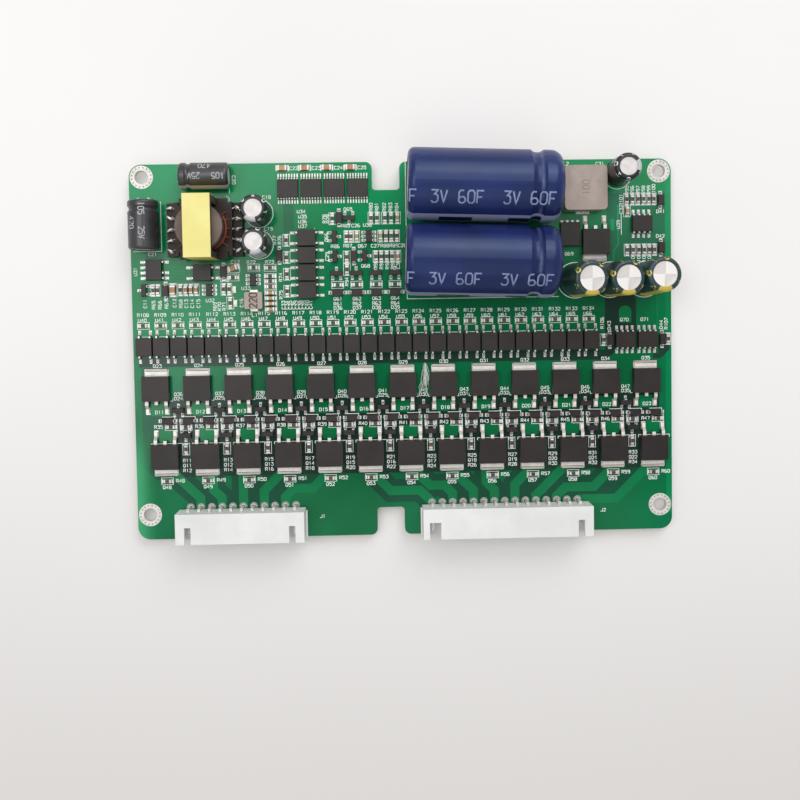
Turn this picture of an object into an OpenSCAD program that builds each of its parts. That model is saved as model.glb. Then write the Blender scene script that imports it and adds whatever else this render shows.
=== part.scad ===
// Active balancer board: a populated circuit board with two side-entry headers, lying storage
// capacitors, an isolating transformer, two rows of tab transistors and a row of optocouplers.
// Millimetres, +Z up. The origin is the centre of the four mounting holes, on the underside.

/* [Board] */
// Length of the board along X
board_l = 130; // [129:0.5:150]
// Width of the board along Y
board_w = 90; // [89:0.5:110]
// Thickness of the laminate
board_t = 1.6; // [0.8:0.2:2.4]
// Radius of the board's corners
board_corner_r = 3; // [1:0.5:4]
// Diameter of the four mounting holes
mount_hole_d = 3.2; // [2.6:0.1:4]
// Distance of the mounting holes from the left, right and top edges
mount_inset = 3; // [2.9:0.1:3.6]
// Distance of the lower mounting holes from the bottom edge
mount_inset_bottom = 6; // [3:0.5:8]
// Diameter of the plated rings around the mounting holes
ring_d = 5.5; // [4.5:0.1:5.7]
// Thickness of the plating
plating_t = 0.05; // [0.03:0.01:0.1]
// Width of the two edge notches
notch_w = 6.6; // [4:0.1:7.5]
// Depth of the two edge notches
notch_depth = 6.7; // [3:0.1:7.5]
// Place of the notches along X, from the board's centre
notch_x = -3.85; // [-4.5:0.05:-3]
// Radius at the mouth of the notches
notch_mouth_r = 1.6; // [0.5:0.1:2]
// Radius at the floor of the notches
notch_floor_r = 0.8; // [0.3:0.1:1.5]

/* [Headers] */
// Pin pitch of both headers
header_pitch = 2.54; // [2:0.02:2.7]
// Number of pins of the left header
header_a_ways = 11; // [4:1:12]
// Number of pins of the right header
header_b_ways = 15; // [4:1:16]
// Centre of the left header along X
header_a_x = -39.6; // [-45:0.1:-32]
// Centre of the right header along X
header_b_x = 23.9; // [22:0.1:30]
// Housing past the last pin at each end
header_end = 2.45; // [2:0.05:3]
// Height of the housings
header_h = 7; // [5:0.1:9]
// Depth of the housings, from the mating face to the back
header_depth = 7.2; // [6:0.1:8]
// Wall of the housings
header_wall = 0.9; // [0.6:0.05:1.2]
// Width of the latch slots
latch_slot_w = 1.5; // [1:0.1:2]
// Width of the keyed latch slot on the right header
key_slot_w = 2.7; // [1.5:0.1:3]
// Length of the latch slots from the mating face
latch_slot_l = 4; // [2:0.1:5]
// Side of the square pins
pin_s = 0.64; // [0.5:0.02:0.7]

/* [Storage capacitors] */
// Outside diameter over the sleeve
storage_d = 16.8; // [14:0.1:17.1]
// Length over the sleeve
storage_l = 35.6; // [30:0.1:35.8]
// Turn of the capacitors on the board, in degrees
storage_skew = -1.9; // [-2.2:0.1:0]
// Distance between the two leads
storage_lead_pitch = 7.5; // [5:0.1:8]
// Diameter of the storage capacitors' leads
storage_lead_d = 0.7; // [0.5:0.05:0.75]

/* [Small capacitors] */
// Outside diameter of the output capacitors over the sleeve
output_d = 8.2; // [6:0.1:8.3]
// Length of the output capacitors
output_l = 12; // [9:0.1:14]
// Lean of the output capacitors towards +X, in degrees
output_lean = 6.4; // [0:0.1:7]
// Extra lean of the last output capacitor towards +Y, in degrees
output_last_lean = 3.3; // [0:0.1:4]
// Outside diameter of the small capacitors over the sleeve
small_d = 6.3; // [5:0.1:6.6]
// Length of the small capacitors
small_l = 11.3; // [7:0.1:12]
// Diameter of the capacitor that lies along the left edge
edge_cap_d = 7.2; // [6:0.1:7.4]
// Thickness of the shrink sleeves
sleeve_t = 0.12; // [0.08:0.01:0.2]
// Diameter of the small and output capacitors' leads
cap_lead_d = 0.6; // [0.4:0.05:0.7]

/* [Transformer] */
// Width of the core along X
core_w = 6.1; // [4:0.1:6.6]
// Length of the core along Y
core_l = 14.2; // [13.6:0.1:14.4]
// Height of the closed core
core_h = 12.4; // [11:0.1:14]
// Thickness of the core's bars
core_bar = 2.4; // [1.8:0.1:3]
// Thickness of the core's outer legs
core_leg = 1.55; // [1.2:0.05:2]
// Diameter of the core's round centre leg
core_post_d = 5.1; // [4:0.1:5.4]
// Thickness of the tape round the core
tape_t = 0.08; // [0.05:0.01:0.15]
// Distance of the pin rows from the transformer's centre
tf_row = 7.8; // [7.6:0.1:8]
// Number of transformer pins in a row
tf_ways = 5; // [2:1:5]
// Pitch of the transformer's pins
tf_pitch = 2.54; // [2:0.02:2.6]

/* [Transistor rows] */
// Number of tab transistors in each row
fet_count = 13; // [6:1:13]
// First transistor of the upper row, from the left edge
fet_row_left = 5.4; // [5:0.1:7]
// Last transistor of the upper row, from the right edge
fet_row_right = 6.5; // [6:0.1:9]
// Offset of the lower row along X
fet_stagger = 1.8; // [1.4:0.1:2]
// Width of a transistor body
fet_w = 6.6; // [5.8:0.1:6.8]
// Length of a transistor body
fet_l = 6.1; // [5.4:0.1:6.3]
// Height of a transistor body
fet_h = 2.3; // [1.8:0.1:3]
// Width of the solder tab
fet_tab_w = 5.4; // [4.4:0.1:5.6]
// Length of the tab beyond the body
fet_tab_l = 1.4; // [0.8:0.1:1.5]
// Length of the leads beyond the body
fet_lead_l = 2.9; // [2:0.1:3.1]

/* [Optocouplers] */
// Number of optocouplers in the row
opto_count = 27; // [10:1:27]
// First optocoupler from the left edge
opto_row_left = 2.9; // [2.6:0.1:5]
// Last optocoupler from the right edge
opto_row_right = 19.8; // [19.6:0.1:24]
// Gap between neighbouring optocouplers
opto_gap = 0.16; // [0.1:0.02:0.6]
// Length of an optocoupler body across its lead rows
opto_l = 4.4; // [3.8:0.1:4.6]
// Height of an optocoupler body
opto_h = 2; // [1.6:0.1:2.4]

/* [Chips] */
// Length of a chip resistor
chip_l = 1.6; // [1.2:0.05:1.7]
// Width of a chip resistor
chip_w = 0.8; // [0.5:0.05:0.9]
// Height of a chip resistor
chip_h = 0.45; // [0.3:0.05:0.7]
// Height of a ceramic chip capacitor
mlcc_h = 0.8; // [0.5:0.05:1]
// Length of the metal cap on each end of a chip
chip_end = 0.32; // [0.2:0.02:0.4]

/* [Hidden] */
$fn = 48;

// The places of the parts are drawn for this board; each zone follows its own edges when it grows
drawn_l = 130;
drawn_w = 90;
grow_x = (board_l - drawn_l) / 2;
grow_y = (board_w - drawn_w) / 2;
centre_y = (mount_inset - mount_inset_bottom) / 2;
LEFT = [-1, 1];
MIDDLE = [0, 1];
RIGHT = [1, 1];
BOTTOM = [0, -1];

// Clearances and small common sizes
fit = 0.05;
skin_gap = 0.02;
tail = 1.3;
hole_fit = 0.15;
lying_gap = 0.1;
lead_standoff = 0.1;
draft = 0.12;
dimple_d = 0.6;
dimple_in = 0.8;
dimple_depth = 0.08;
eps = 0.01;

// Headers: the housings end flush with the board's lower edge
header_front_y = -drawn_w / 2 + 0.05;
header_back_y = header_front_y + header_depth;
header_pin_y = header_back_y + pin_s / 2 + fit;
header_pin_z = header_h / 2;
header_back_wall = 1.2;
header_pin_inset = 1.5;
header_relief = 0.8;
header_foot = 0.35;
header_foot_h = 0.8;
latch_slot_in = 0.4;

// Storage capacitors: places of their middles, from the board's centre
storage_at = [[18.8, 37.9], [18.15, 20.6]];
storage_can_d = storage_d - 2 * (sleeve_t + skin_gap);
storage_can_l = storage_l - 2 * (sleeve_t + skin_gap);
storage_closed_r = 1.4;
storage_rim_r = 2.6;
storage_bead_at = 5.8;
storage_bead_r = 2.4;
storage_bead_depth = 0.65;
storage_seal_d = 10.6;
storage_seal_depth = 4;
storage_seal_inset = 0.9;
storage_axis_z = storage_d / 2 + lying_gap;
storage_lead_out = storage_seal_inset + sleeve_t + 2 * fit + storage_lead_d / 2;

// Upright output capacitors, and the small capacitors that stand and lie
function bare(d) = d - 2 * (sleeve_t + skin_gap);
output_at = [[41.6, 16], [50, 16], [58.4, 16]];
output_can_d = output_d - 2 * (sleeve_t + skin_gap);
output_standoff = 0.3 + output_d / 2 * sin(output_lean);
output_lead_pitch = 3.5;
output_disc_d = 5.9;
small_at_left = [[-34.3, 33.1], [-34.4, 25.6]];
small_at_right = [[51.75, 41.5]];
small_can_d = bare(small_d);
small_standoff = 0.3;
small_lead_pitch = 2.5;
small_disc_d = 4.15;
// Lying ones: place of the lead end, heading from the closed end to the lead end, diameter
lying_at = [[-52.15, 41.6, 180, small_d], [-60.9, 35.95, 90, edge_cap_d]];
cap_closed_r = 0.6;
cap_rim_r = 0.5;
cap_bead_at = 2;
cap_bead_r = 0.9;
cap_bead_depth = 0.35;
cap_seal_share = 0.68;
cap_seal_depth = 1.6;
cap_seal_inset = 0.3;
cap_lead_out = cap_seal_inset + sleeve_t + 2 * fit + cap_lead_d / 2;
vent_w = 0.25;
vent_depth = 0.12;

// Transformer: place of its centre and the levels of its bobbin
tf_at = [-46.85, 29.2];
core_z = 0.9;
core_top_z = core_z + core_h;
core_mid_z = core_z + core_h / 2;
window_low_z = core_z + core_bar;
window_high_z = core_top_z - core_bar;
flange_t = 0.8;
flange_low_z = window_low_z + fit;
flange_high_z = window_high_z - fit - flange_t;
drum_d = core_l - 2 * core_leg - 2 * hole_fit;
tube_wall = 0.5;
tube_d = core_post_d + 2 * hole_fit + 2 * tube_wall;
rail_w = 2.2;
rail_h = 2.2;
rail_web = 0.8;
rail_in = tf_row - rail_w / 2;
rail_l = (tf_ways - 1) * tf_pitch + 2.4;
ear_x = 5.6;
tf_pin_d = 0.6;
tf_pin_top = 1;

// Inductors
choke_at = [43.5, 37.75];
choke = [10.1, 10.5, 4.5];
choke_r = 1;
choke_term = [3, 2.4, 0.3];
coil_at = [-35.9, 12.3];
coil = [4.2, 4, 2];
coil_r = 0.35;
coil_term = [1.6, 1, 0.2];
term_out = 0.45;

// Tab transistors: rows measured from the board's centre
fet_pitch = (board_l - fet_row_left - fet_row_right) / (fet_count - 1);
fet_x0 = -board_l / 2 + fet_row_left;
fet_upper_y = -8.45;
fet_lower_y = -24.85;
fet_lead_pitch = 2.29;
fet_lead_w = 0.8;
fet_lead_t = 0.5;
fet_lead_z = 1.05;
fet_stub_l = 0.8;
fet_paddle_in = 4.4;
extra_fet_at = [46.4, 25.2];
flat_fet_at = [40.4, 27.1];
flat_fet = [4.9, 5.8, 1];
flat_fet_pitch = 1.27;
flat_fet_lead = [0.45, 0.9, 0.25];
flat_fet_lead_out = 0.35;

// Optocouplers and the isolators of the same outline
opto_pitch = (board_l - opto_row_left - opto_row_right) / (opto_count - 1);
opto_w = opto_pitch - opto_gap;
opto_row_y = 1.55;
opto_lead_pitch = 2.54;
opto_lead_w = 0.4;
opto_lead_t = 0.2;
opto_lead_l = 1.4;
opto_foot = 0.65;
opto_chip_y = 6.65;
opto_chip_dx = -0.35;
isolator_x = -23;
isolator_y0 = 14.6;
isolator_pitch = 4.15;
isolator_count = 4;
isolator_w = isolator_pitch - opto_gap;
lone_isolator_at = [-47.9, 19.1];

// Logic packages, small-outline packages and small transistors
logic_at = [for (i = [0:3]) [-27.25 + 5.53 * i, 38.85]];
logic = [5, 4.4, 1];
logic_pitch = 0.65;
logic_ways = 8;
logic_lead_w = 0.24;
logic_lead_t = 0.15;
logic_lead_l = 1;
so = [4.9, 3.9, 1.5];
so_pitch = 1.27;
so_lead_w = 0.42;
so_lead_t = 0.2;
so_lead_l = 1.05;
so_at_right = [[57.7, 29.4], [53.5, 1.5], [58.95, 1.5]];
so_at_left = [[-59.4, 19.9]];
so_missing_lead = 1;
sot = [2.9, 1.3, 1];
sot6 = [2.9, 1.6, 1.1];
sot_pitch = 0.95;
sot_lead_w = 0.42;
sot_lead_t = 0.15;
sot_lead_l = 0.6;
small_foot = 0.35;
sot_upper_dx = 5;
sot_upper_y = -13.8;
sot_lower_dx = 4.8;
sot_lower_y = -19.85;
sot_left = [[-62, 15.1, 90]];
sot_middle = [
    [-12.8, 31.7, 180], [-16.4, 27.3, -90], [-16.3, 22.6, -90], [-9.2, 22.6, -90],
    [-16, 18.5, 0], [-11.3, 18.5, 0], [-6.6, 18.5, 0], [-2, 18.5, 0]
];
sot6_left = [[-46.5, 15, 90], [-36, 17.3, 90]];
sot6_middle = [[-8.1, 27.3, 90]];

// Small diodes
diode = [2.7, 1.6, 1.1];
diode_lead_w = 0.6;
diode_lead_t = 0.15;
diode_lead_l = 0.5;
diode_foot = 0.3;
diode_row_dx = 2.4;
diode_row_y = -16.3;
diodes_left = [[-56.9, 14.9, 90], [-43, 19.3, 90]];
diodes_middle = [
    [-29.6, 23, 90], [-15.2, 31.8, 90], [-11.8, 22.6, 90],
    [-15.8, 13.9, 0], [-11.2, 13.9, 0], [-6.5, 13.9, 0], [-2, 13.9, 0]
];
diodes_right = [[49.9, 1.5, 90], [62.7, 1.5, 90], [62.4, 35, 90], [62.5, 23.6, 90]];

// Chip resistors: rows between the transistors, then the groups by zone
chip_row_y = -17.8;
chip_row_dx = [3.1, 6.7];
gate_chip_y = -23.2;
gate_chip_dx = 4.8;
tab_chip_y = -30.9;
tab_chip_dx = 0.1;
chips_left = [
    [-59.9, 15.1, 90], [-58.8, 15.1, 90], [-53.4, 15.1, 90], [-43.1, 15.1, 90], [-41.8, 15.1, 90],
    [-41.6, 11.8, 90], [-40.8, 17.9, 0], [-35.8, 20.2, 0],
    [-31.9, 20.1, 0], [-31.9, 18.1, 0], [-31.9, 16.9, 0], [-31.9, 15.6, 0]
];
chips_middle = [
    for (y = [26.6, 22.5, 18.5, 14.4]) [-27.9, y, 90],
    for (x = [-16.8, -7.5, -6.1, -4.2, -2.7]) [x, 31.6, 90],
    for (x = [-13.5, -12.4, -4, -2.7, -1.4]) [x, 27.3, 90],
    for (x = [-13.5, -6.5, -5.2, -3.9, -2.6]) [x, 22.4, 90],
    [-13.5, 19.4, 90],
    for (x = [-15.8, -11.2, -6.5, -2]) [x, 15.75, 0]
];
chips_right = [
    for (x = [54.2, 55.6, 57, 58.3, 59.6, 60.8]) [x, 35.3, 90],
    for (x = [54.3, 55.7, 57.1, 58.4, 59.7, 60.9]) [x, 23.1, 90],
    [48.4, 1.5, 90], [64.2, 1.5, 90]
];

// Ceramic chip capacitors and indicator chips
mlcc_big = [2, 1.25, 1];
mlcc_left = [
    for (x = [-52.1, -50.9, -49.6]) [x, 15.1, 90],
    for (y = [14.1, 12.8, 11.5, 10.2]) [-31.9, y, 0]
];
mlcc_middle = [[-1.2, 31.6, 90], [-11, 27.3, 90], [-5.3, 27.3, 90], [-1.2, 22.4, 90]];
mlcc_right = [[54.3, 32.5, 90]];
mlcc_big_left = [[-55.2, 15.1, 90], [-40.8, 20.1, 17]];
mlcc_big_middle = [for (x = [-28.5, -23.2, -17.9, -12.3]) [x, 43.75, 0]];
led_base_h = 0.35;
led_lens = [0.9, 0.4];
leds_left = [[-40.5, 15, 90], [-40.3, 11.7, 90]];

// Solder joints
solder_h = 0.9;
solder_spread = 0.65;
solder_neck = 0.15;
header_ring_d = 1.95;
header_ring_h = 0.5;

// Moves to the board's top face, in the zone that follows the named edges
module on_board(zone) {
    translate([zone[0] * grow_x, centre_y + zone[1] * grow_y, board_t]) children();
}

// Puts a piece at each listed [x, y, turn] of a zone
module at_each(zone, places) {
    on_board(zone)
        for (p = places)
            translate([p[0], p[1], 0]) rotate(len(p) > 2 ? p[2] : 0) children();
}

module rounded_plate(w, l, r) {
    square([w - 2 * r, l], center = true);
    square([w, l - 2 * r], center = true);
    for (sx = [-1, 1], sy = [-1, 1])
        translate([sx * (w / 2 - r), sy * (l / 2 - r)]) circle(r);
}

// A moulded body with draft above and below its parting line, centred, standing on z = 0
module moulded(w, l, h) {
    intersection() {
        rotate([90, 0, 0]) linear_extrude(l, center = true) draft_section(w, h);
        rotate([90, 0, 90]) linear_extrude(w, center = true) draft_section(l, h);
    }
}

module draft_section(w, h) {
    polygon([
        [-w / 2 + draft, 0], [w / 2 - draft, 0], [w / 2, h / 2],
        [w / 2 - draft, h], [-w / 2 + draft, h], [-w / 2, h / 2]
    ]);
}

// A gull-wing lead that leaves a body at y = 0 and runs towards -Y
module gull(reach, rise, foot, w, t) {
    run = reach - foot;
    knee = run * 0.45;
    lean = t * 0.3;
    rotate([90, 0, 90]) linear_extrude(w, center = true) polygon([
        [0, rise - t / 2], [-knee + lean, rise - t / 2], [-run + lean, 0], [-reach, 0],
        [-reach, t], [-run - lean, t], [-knee - lean, rise + t / 2], [0, rise + t / 2]
    ]);
}

// One row of gull-wing leads on each long side of a body, without those the list skips
module gull_rows(size, ways, pitch, lead_l, foot, w, t, skip_back = []) {
    rise = lead_standoff + size[2] / 2;
    for (i = [0:ways - 1]) {
        x = (i - (ways - 1) / 2) * pitch;
        translate([x, -size[1] / 2, 0]) gull(lead_l, rise, foot, w, t);
        if (len(search(i, skip_back)) == 0)
            translate([x, size[1] / 2, 0]) rotate(180) gull(lead_l, rise, foot, w, t);
    }
}

module raised_body(size) {
    translate([0, 0, lead_standoff]) moulded(size[0], size[1], size[2]);
}

// A body with a round dimple on its top beside the first lead
module marked_body(size) {
    difference() {
        raised_body(size);
        translate([dimple_in - size[0] / 2, dimple_in - size[1] / 2, lead_standoff + size[2] - dimple_depth])
            cylinder(d = dimple_d, h = 1);
    }
}

// Board

module notch_cut(mouth_y, inward) {
    translate([notch_x, mouth_y]) facing(inward) {
        translate([-notch_w / 2, -1]) square([notch_w, notch_depth - notch_floor_r + 1]);
        translate([-notch_w / 2 + notch_floor_r, 0])
            square([notch_w - 2 * notch_floor_r, notch_depth]);
        for (s = [-1, 1])
            translate([s * (notch_w / 2 - notch_floor_r), notch_depth - notch_floor_r])
                circle(notch_floor_r);
        difference() {
            translate([-notch_w / 2 - notch_mouth_r, -1])
                square([notch_w + 2 * notch_mouth_r, notch_mouth_r + 1]);
            for (s = [-1, 1])
                translate([s * (notch_w / 2 + notch_mouth_r), notch_mouth_r])
                    circle(notch_mouth_r);
        }
    }
}

// Mirrors an outline drawn towards +Y when it has to run towards -Y
module facing(direction) {
    if (direction > 0) children();
    else mirror([0, 1]) children();
}

module mount_places() {
    hole_x = board_l / 2 - mount_inset;
    hole_y = (board_w - mount_inset - mount_inset_bottom) / 2;
    for (sx = [-1, 1], sy = [-1, 1])
        translate([sx * hole_x, sy * hole_y, 0]) children();
}

module pcb() {
    color("seagreen") difference() {
        translate([0, centre_y, 0]) linear_extrude(board_t) difference() {
            rounded_plate(board_l, board_w, board_corner_r);
            notch_cut(board_w / 2, -1);
            notch_cut(-board_w / 2, 1);
        }
        mount_places() translate([0, 0, -1])
            cylinder(d = mount_hole_d + 2 * plating_t, h = board_t + 2);
        header_hole_places() drill(pin_s * sqrt(2));
        storage_hole_places() drill(storage_lead_d);
        cap_hole_places() drill(cap_lead_d);
        transformer_hole_places() drill(tf_pin_d);
    }
}

module drill(lead_d) {
    translate([0, 0, -board_t - 1]) cylinder(d = lead_d + 2 * hole_fit, h = board_t + 2);
}

// A plated ring lines its hole and spreads over both faces of the board
module mounting_rings() {
    color("gainsboro") mount_places() difference() {
        union() {
            translate([0, 0, -plating_t]) cylinder(d = ring_d, h = plating_t);
            cylinder(d = mount_hole_d + 2 * plating_t, h = board_t);
            translate([0, 0, board_t]) cylinder(d = ring_d, h = plating_t);
        }
        translate([0, 0, -1]) cylinder(d = mount_hole_d, h = board_t + 2);
    }
}

// Headers

function header_w(ways) = (ways - 1) * header_pitch + 2 * header_end;
function pin_x(ways, i) = (i - (ways - 1) / 2) * header_pitch;

module header_housing(x, ways, first_slot_w) {
    w = header_w(ways);
    color("whitesmoke") on_board(BOTTOM) translate([x, 0, 0]) difference() {
        union() {
            translate([-w / 2, header_front_y, 0]) cube([w, header_depth, header_h]);
            translate([-w / 2 - header_foot, header_front_y, 0])
                cube([w + 2 * header_foot, header_depth, header_foot_h]);
        }
        translate([-w / 2 + header_wall, header_front_y - 1, header_wall])
            cube([w - 2 * header_wall, header_depth - header_back_wall + 1, header_h - 2 * header_wall]);
        latch_slot(pin_x(ways, 0) + latch_slot_in, first_slot_w);
        latch_slot(pin_x(ways, ways - 1) - latch_slot_in, latch_slot_w);
        translate([-w / 2 - header_foot - 1, header_back_y - header_relief, -1])
            cube([w + 2 * header_foot + 2, header_relief + 1, header_relief + 1]);
        for (i = [0:ways - 1])
            translate([pin_x(ways, i) - pin_s / 2 - fit, header_back_y - header_back_wall - 1,
                       header_pin_z - pin_s / 2 - fit])
                cube([pin_s + 2 * fit, header_back_wall + 2, pin_s + 2 * fit]);
    }
}

module latch_slot(x, w) {
    translate([x - w / 2, header_front_y - 1, header_h - header_wall - 1])
        cube([w, latch_slot_l + 1, header_wall + 2]);
}

// A square pin rises from the board behind the housing and turns forward through its back wall
module header_pins(x, ways) {
    top = header_pin_z + pin_s / 2;
    foot = -board_t - tail;
    back = header_pin_y + pin_s / 2;
    front = header_pin_y - pin_s / 2;
    tip = header_front_y + header_pin_inset;
    color("silver") on_board(BOTTOM) for (i = [0:ways - 1])
        translate([x + pin_x(ways, i), 0, 0]) rotate([90, 0, 90])
            linear_extrude(pin_s, center = true) polygon([
                [back, foot], [back, top - pin_s / 2], [back - pin_s / 2, top], [tip, top],
                [tip, top - pin_s], [front, top - pin_s], [front, foot]
            ]);
}

module header_hole_places() {
    on_board(BOTTOM) {
        for (i = [0:header_a_ways - 1])
            translate([header_a_x + pin_x(header_a_ways, i), header_pin_y, 0]) children();
        for (i = [0:header_b_ways - 1])
            translate([header_b_x + pin_x(header_b_ways, i), header_pin_y, 0]) children();
    }
}

// Beaded cans, their shrink sleeves, rubber seals and leads

// Half section of a can: lead end at y = 0, closed end at y = l, grown outward for the sleeve
module can_section(d, l, closed_r, rim_r, bead, grow = 0) {
    difference() {
        union() {
            translate([0, rim_r]) square([d / 2 + grow, l - rim_r - closed_r]);
            translate([0, -grow]) square([d / 2 - rim_r, rim_r + grow + eps]);
            translate([d / 2 - rim_r, rim_r]) circle(rim_r + grow);
            translate([0, l - closed_r - eps]) square([d / 2 - closed_r, closed_r + grow + eps]);
            translate([d / 2 - closed_r, l - closed_r]) circle(closed_r + grow);
        }
        translate([d / 2 + bead[1] - bead[2], bead[0]]) circle(bead[1] - grow);
    }
}

module can(d, l, closed_r, rim_r, bead, seal_d, seal_depth) {
    difference() {
        rotate_extrude() can_section(d, l, closed_r, rim_r, bead);
        translate([0, 0, -1]) cylinder(d = seal_d + 2 * fit, h = seal_depth + 1);
    }
}

module sleeve(d, l, closed_r, rim_r, bead, rim_open_d, top_open_d) {
    rotate_extrude() difference() {
        can_section(d, l, closed_r, rim_r, bead, skin_gap + sleeve_t);
        can_section(d, l, closed_r, rim_r, bead, skin_gap);
        translate([0, -1]) square([rim_open_d / 2, 1]);
        translate([0, l]) square([top_open_d / 2, 1]);
    }
}

module seal(d, inset, depth) {
    translate([0, 0, inset]) cylinder(d = d, h = depth - inset);
}

// A lead that leaves along -Z, turns once and runs along -X
module bent_lead(d, out, drop) {
    bend = d * 0.8;
    translate([0, 0, bend - out]) cylinder(d = d, h = out - bend);
    translate([-bend, 0, bend - out]) rotate([-90, 0, 0])
        rotate_extrude(angle = 90) translate([bend, 0]) circle(d = d);
    translate([-drop, 0, -out]) rotate([0, 90, 0]) cylinder(d = d, h = drop - bend);
}

storage_bead = [storage_bead_at, storage_bead_r, storage_bead_depth];
cap_bead = [cap_bead_at, cap_bead_r, cap_bead_depth];

// Frame of a lying storage capacitor: origin at its lead end, +Z towards its closed end
module storage_place(i) {
    on_board(MIDDLE) translate([storage_at[i][0], storage_at[i][1], storage_axis_z])
        rotate([0, 0, storage_skew]) rotate([0, -90, 0]) translate([0, 0, -storage_can_l / 2]) children();
}

module storage_can(i) {
    color("lightsteelblue") storage_place(i)
        can(storage_can_d, storage_can_l, storage_closed_r, storage_rim_r, storage_bead,
            storage_seal_d, storage_seal_depth);
}

module storage_sleeve(i) {
    color("navy") storage_place(i)
        sleeve(storage_can_d, storage_can_l, storage_closed_r, storage_rim_r, storage_bead,
            storage_can_d - 2 * storage_rim_r, storage_can_d - 3 * storage_closed_r);
}

module storage_seal(i) {
    color("dimgray") storage_place(i) seal(storage_seal_d, storage_seal_inset, storage_seal_depth);
}

module storage_leads(i) {
    color("silver") storage_place(i) for (s = [-1, 1])
        translate([0, s * storage_lead_pitch / 2, storage_seal_inset])
            bent_lead(storage_lead_d, storage_lead_out, storage_axis_z + board_t + tail);
}

module storage_hole_places() {
    reach = storage_can_l / 2 + storage_lead_out - storage_seal_inset;
    on_board(MIDDLE) for (c = storage_at, s = [-1, 1])
        translate([c[0], c[1], 0]) rotate(storage_skew)
            translate([reach, s * storage_lead_pitch / 2, 0]) children();
}

// Upright capacitors stand a little above the board; the output ones lean on their leads
function output_last(i) = i == len(output_at) - 1 ? -output_last_lean : 0;

module output_places() {
    on_board(RIGHT) for (i = [0:len(output_at) - 1])
        translate([output_at[i][0], output_at[i][1], output_standoff])
            rotate([output_last(i), output_lean, 0]) children();
}

module upright_places() {
    at_each(LEFT, small_at_left) translate([0, 0, small_standoff]) children();
    at_each(RIGHT, small_at_right) translate([0, 0, small_standoff]) children();
}

module lying_place(p) {
    on_board(LEFT) translate([p[0], p[1], p[3] / 2 + lying_gap])
        rotate([0, 0, p[2]]) rotate([0, -90, 0]) children();
}

module cap_can(d, l) {
    can(d, l, cap_closed_r, cap_rim_r, cap_bead, d * cap_seal_share, cap_seal_depth);
}

module cap_sleeve(d, l, disc_d) {
    sleeve(d, l, cap_closed_r, cap_rim_r, cap_bead, d - 2 * cap_rim_r, disc_d);
}

module cap_seal(d) {
    seal(d * cap_seal_share, cap_seal_inset, cap_seal_depth);
}

// Scored cross on a closed end, which opens if the capacitor is overloaded
module vent_score(d, l) {
    for (turn = [0, 90]) translate([0, 0, l - vent_depth]) rotate(turn)
        translate([-d / 2, -vent_w / 2, 0]) cube([d, vent_w, vent_depth + 1]);
}

module output_cap_cans() {
    color("gainsboro") output_places() difference() {
        cap_can(output_can_d, output_l);
        vent_score(output_disc_d, output_l);
    }
}

module output_cap_sleeves() {
    color("darkslategray") output_places() cap_sleeve(output_can_d, output_l, output_disc_d);
}

module output_cap_seals() {
    color("dimgray") output_places() cap_seal(output_can_d);
}

// Straight leads of the leaning capacitors, cut where they meet the leaning seal
module output_cap_leads() {
    color("silver") on_board(RIGHT) for (i = [0:len(output_at) - 1], s = [-1, 1])
        translate([output_at[i][0], output_at[i][1], 0]) difference() {
            translate([0, s * output_lead_pitch / 2, -board_t - tail])
                cylinder(d = cap_lead_d, h = board_t + tail + 2 * output_standoff + cap_seal_inset);
            translate([0, 0, output_standoff]) rotate([output_last(i), output_lean, 0])
                translate([-output_d / 2, -output_d / 2, cap_seal_inset])
                    cube([output_d, output_d, output_d]);
        }
}

module upright_cap_cans() {
    color("gainsboro") upright_places() cap_can(small_can_d, small_l);
}

module upright_cap_sleeves() {
    color("darkslategray") upright_places() cap_sleeve(small_can_d, small_l, small_disc_d);
}

module upright_cap_seals() {
    color("dimgray") upright_places() cap_seal(small_can_d);
}

module upright_cap_leads() {
    color("silver") upright_places() for (s = [-1, 1])
        translate([0, s * small_lead_pitch / 2, -small_standoff - board_t - tail])
            cylinder(d = cap_lead_d, h = small_standoff + board_t + tail + cap_seal_inset);
}

module lying_cap_cans() {
    color("gainsboro") for (p = lying_at) lying_place(p) cap_can(bare(p[3]), small_l);
}

module lying_cap_sleeves() {
    color("darkslategray") for (p = lying_at) lying_place(p)
        cap_sleeve(bare(p[3]), small_l, p[3] - small_d + small_disc_d);
}

module lying_cap_seals() {
    color("dimgray") for (p = lying_at) lying_place(p) cap_seal(bare(p[3]));
}

module lying_cap_leads() {
    color("silver") for (p = lying_at, s = [-1, 1]) lying_place(p)
        translate([0, s * small_lead_pitch / 2, cap_seal_inset])
            bent_lead(cap_lead_d, cap_lead_out, p[3] / 2 + lying_gap + board_t + tail);
}

module cap_hole_places() {
    on_board(RIGHT) for (c = output_at, s = [-1, 1])
        translate([c[0], c[1] + s * output_lead_pitch / 2, 0]) children();
    at_each(LEFT, small_at_left) for (s = [-1, 1])
        translate([0, s * small_lead_pitch / 2, 0]) children();
    at_each(RIGHT, small_at_right) for (s = [-1, 1])
        translate([0, s * small_lead_pitch / 2, 0]) children();
    at_each(LEFT, lying_at) for (s = [-1, 1])
        translate([cap_lead_out - cap_seal_inset, s * small_lead_pitch / 2, 0]) children();
}

// Transformer: two core halves meet inside a drum-shaped bobbin, held by a band of tape

module tf_place() {
    on_board(LEFT) translate([tf_at[0], tf_at[1], 0]) children();
}

// Half a core, drawn with its bar below and its legs up to the parting face at z = 0
module core_half() {
    leg_h = core_h / 2 - core_bar;
    translate([-core_w / 2, -core_l / 2, -core_h / 2]) cube([core_w, core_l, core_bar]);
    translate([0, 0, -leg_h - eps]) cylinder(d = core_post_d, h = leg_h + eps);
    for (s = [-1, 1])
        translate([-core_w / 2, s * (core_l - core_leg) / 2 - core_leg / 2, -leg_h - eps])
            cube([core_w, core_leg, leg_h + eps]);
}

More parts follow.
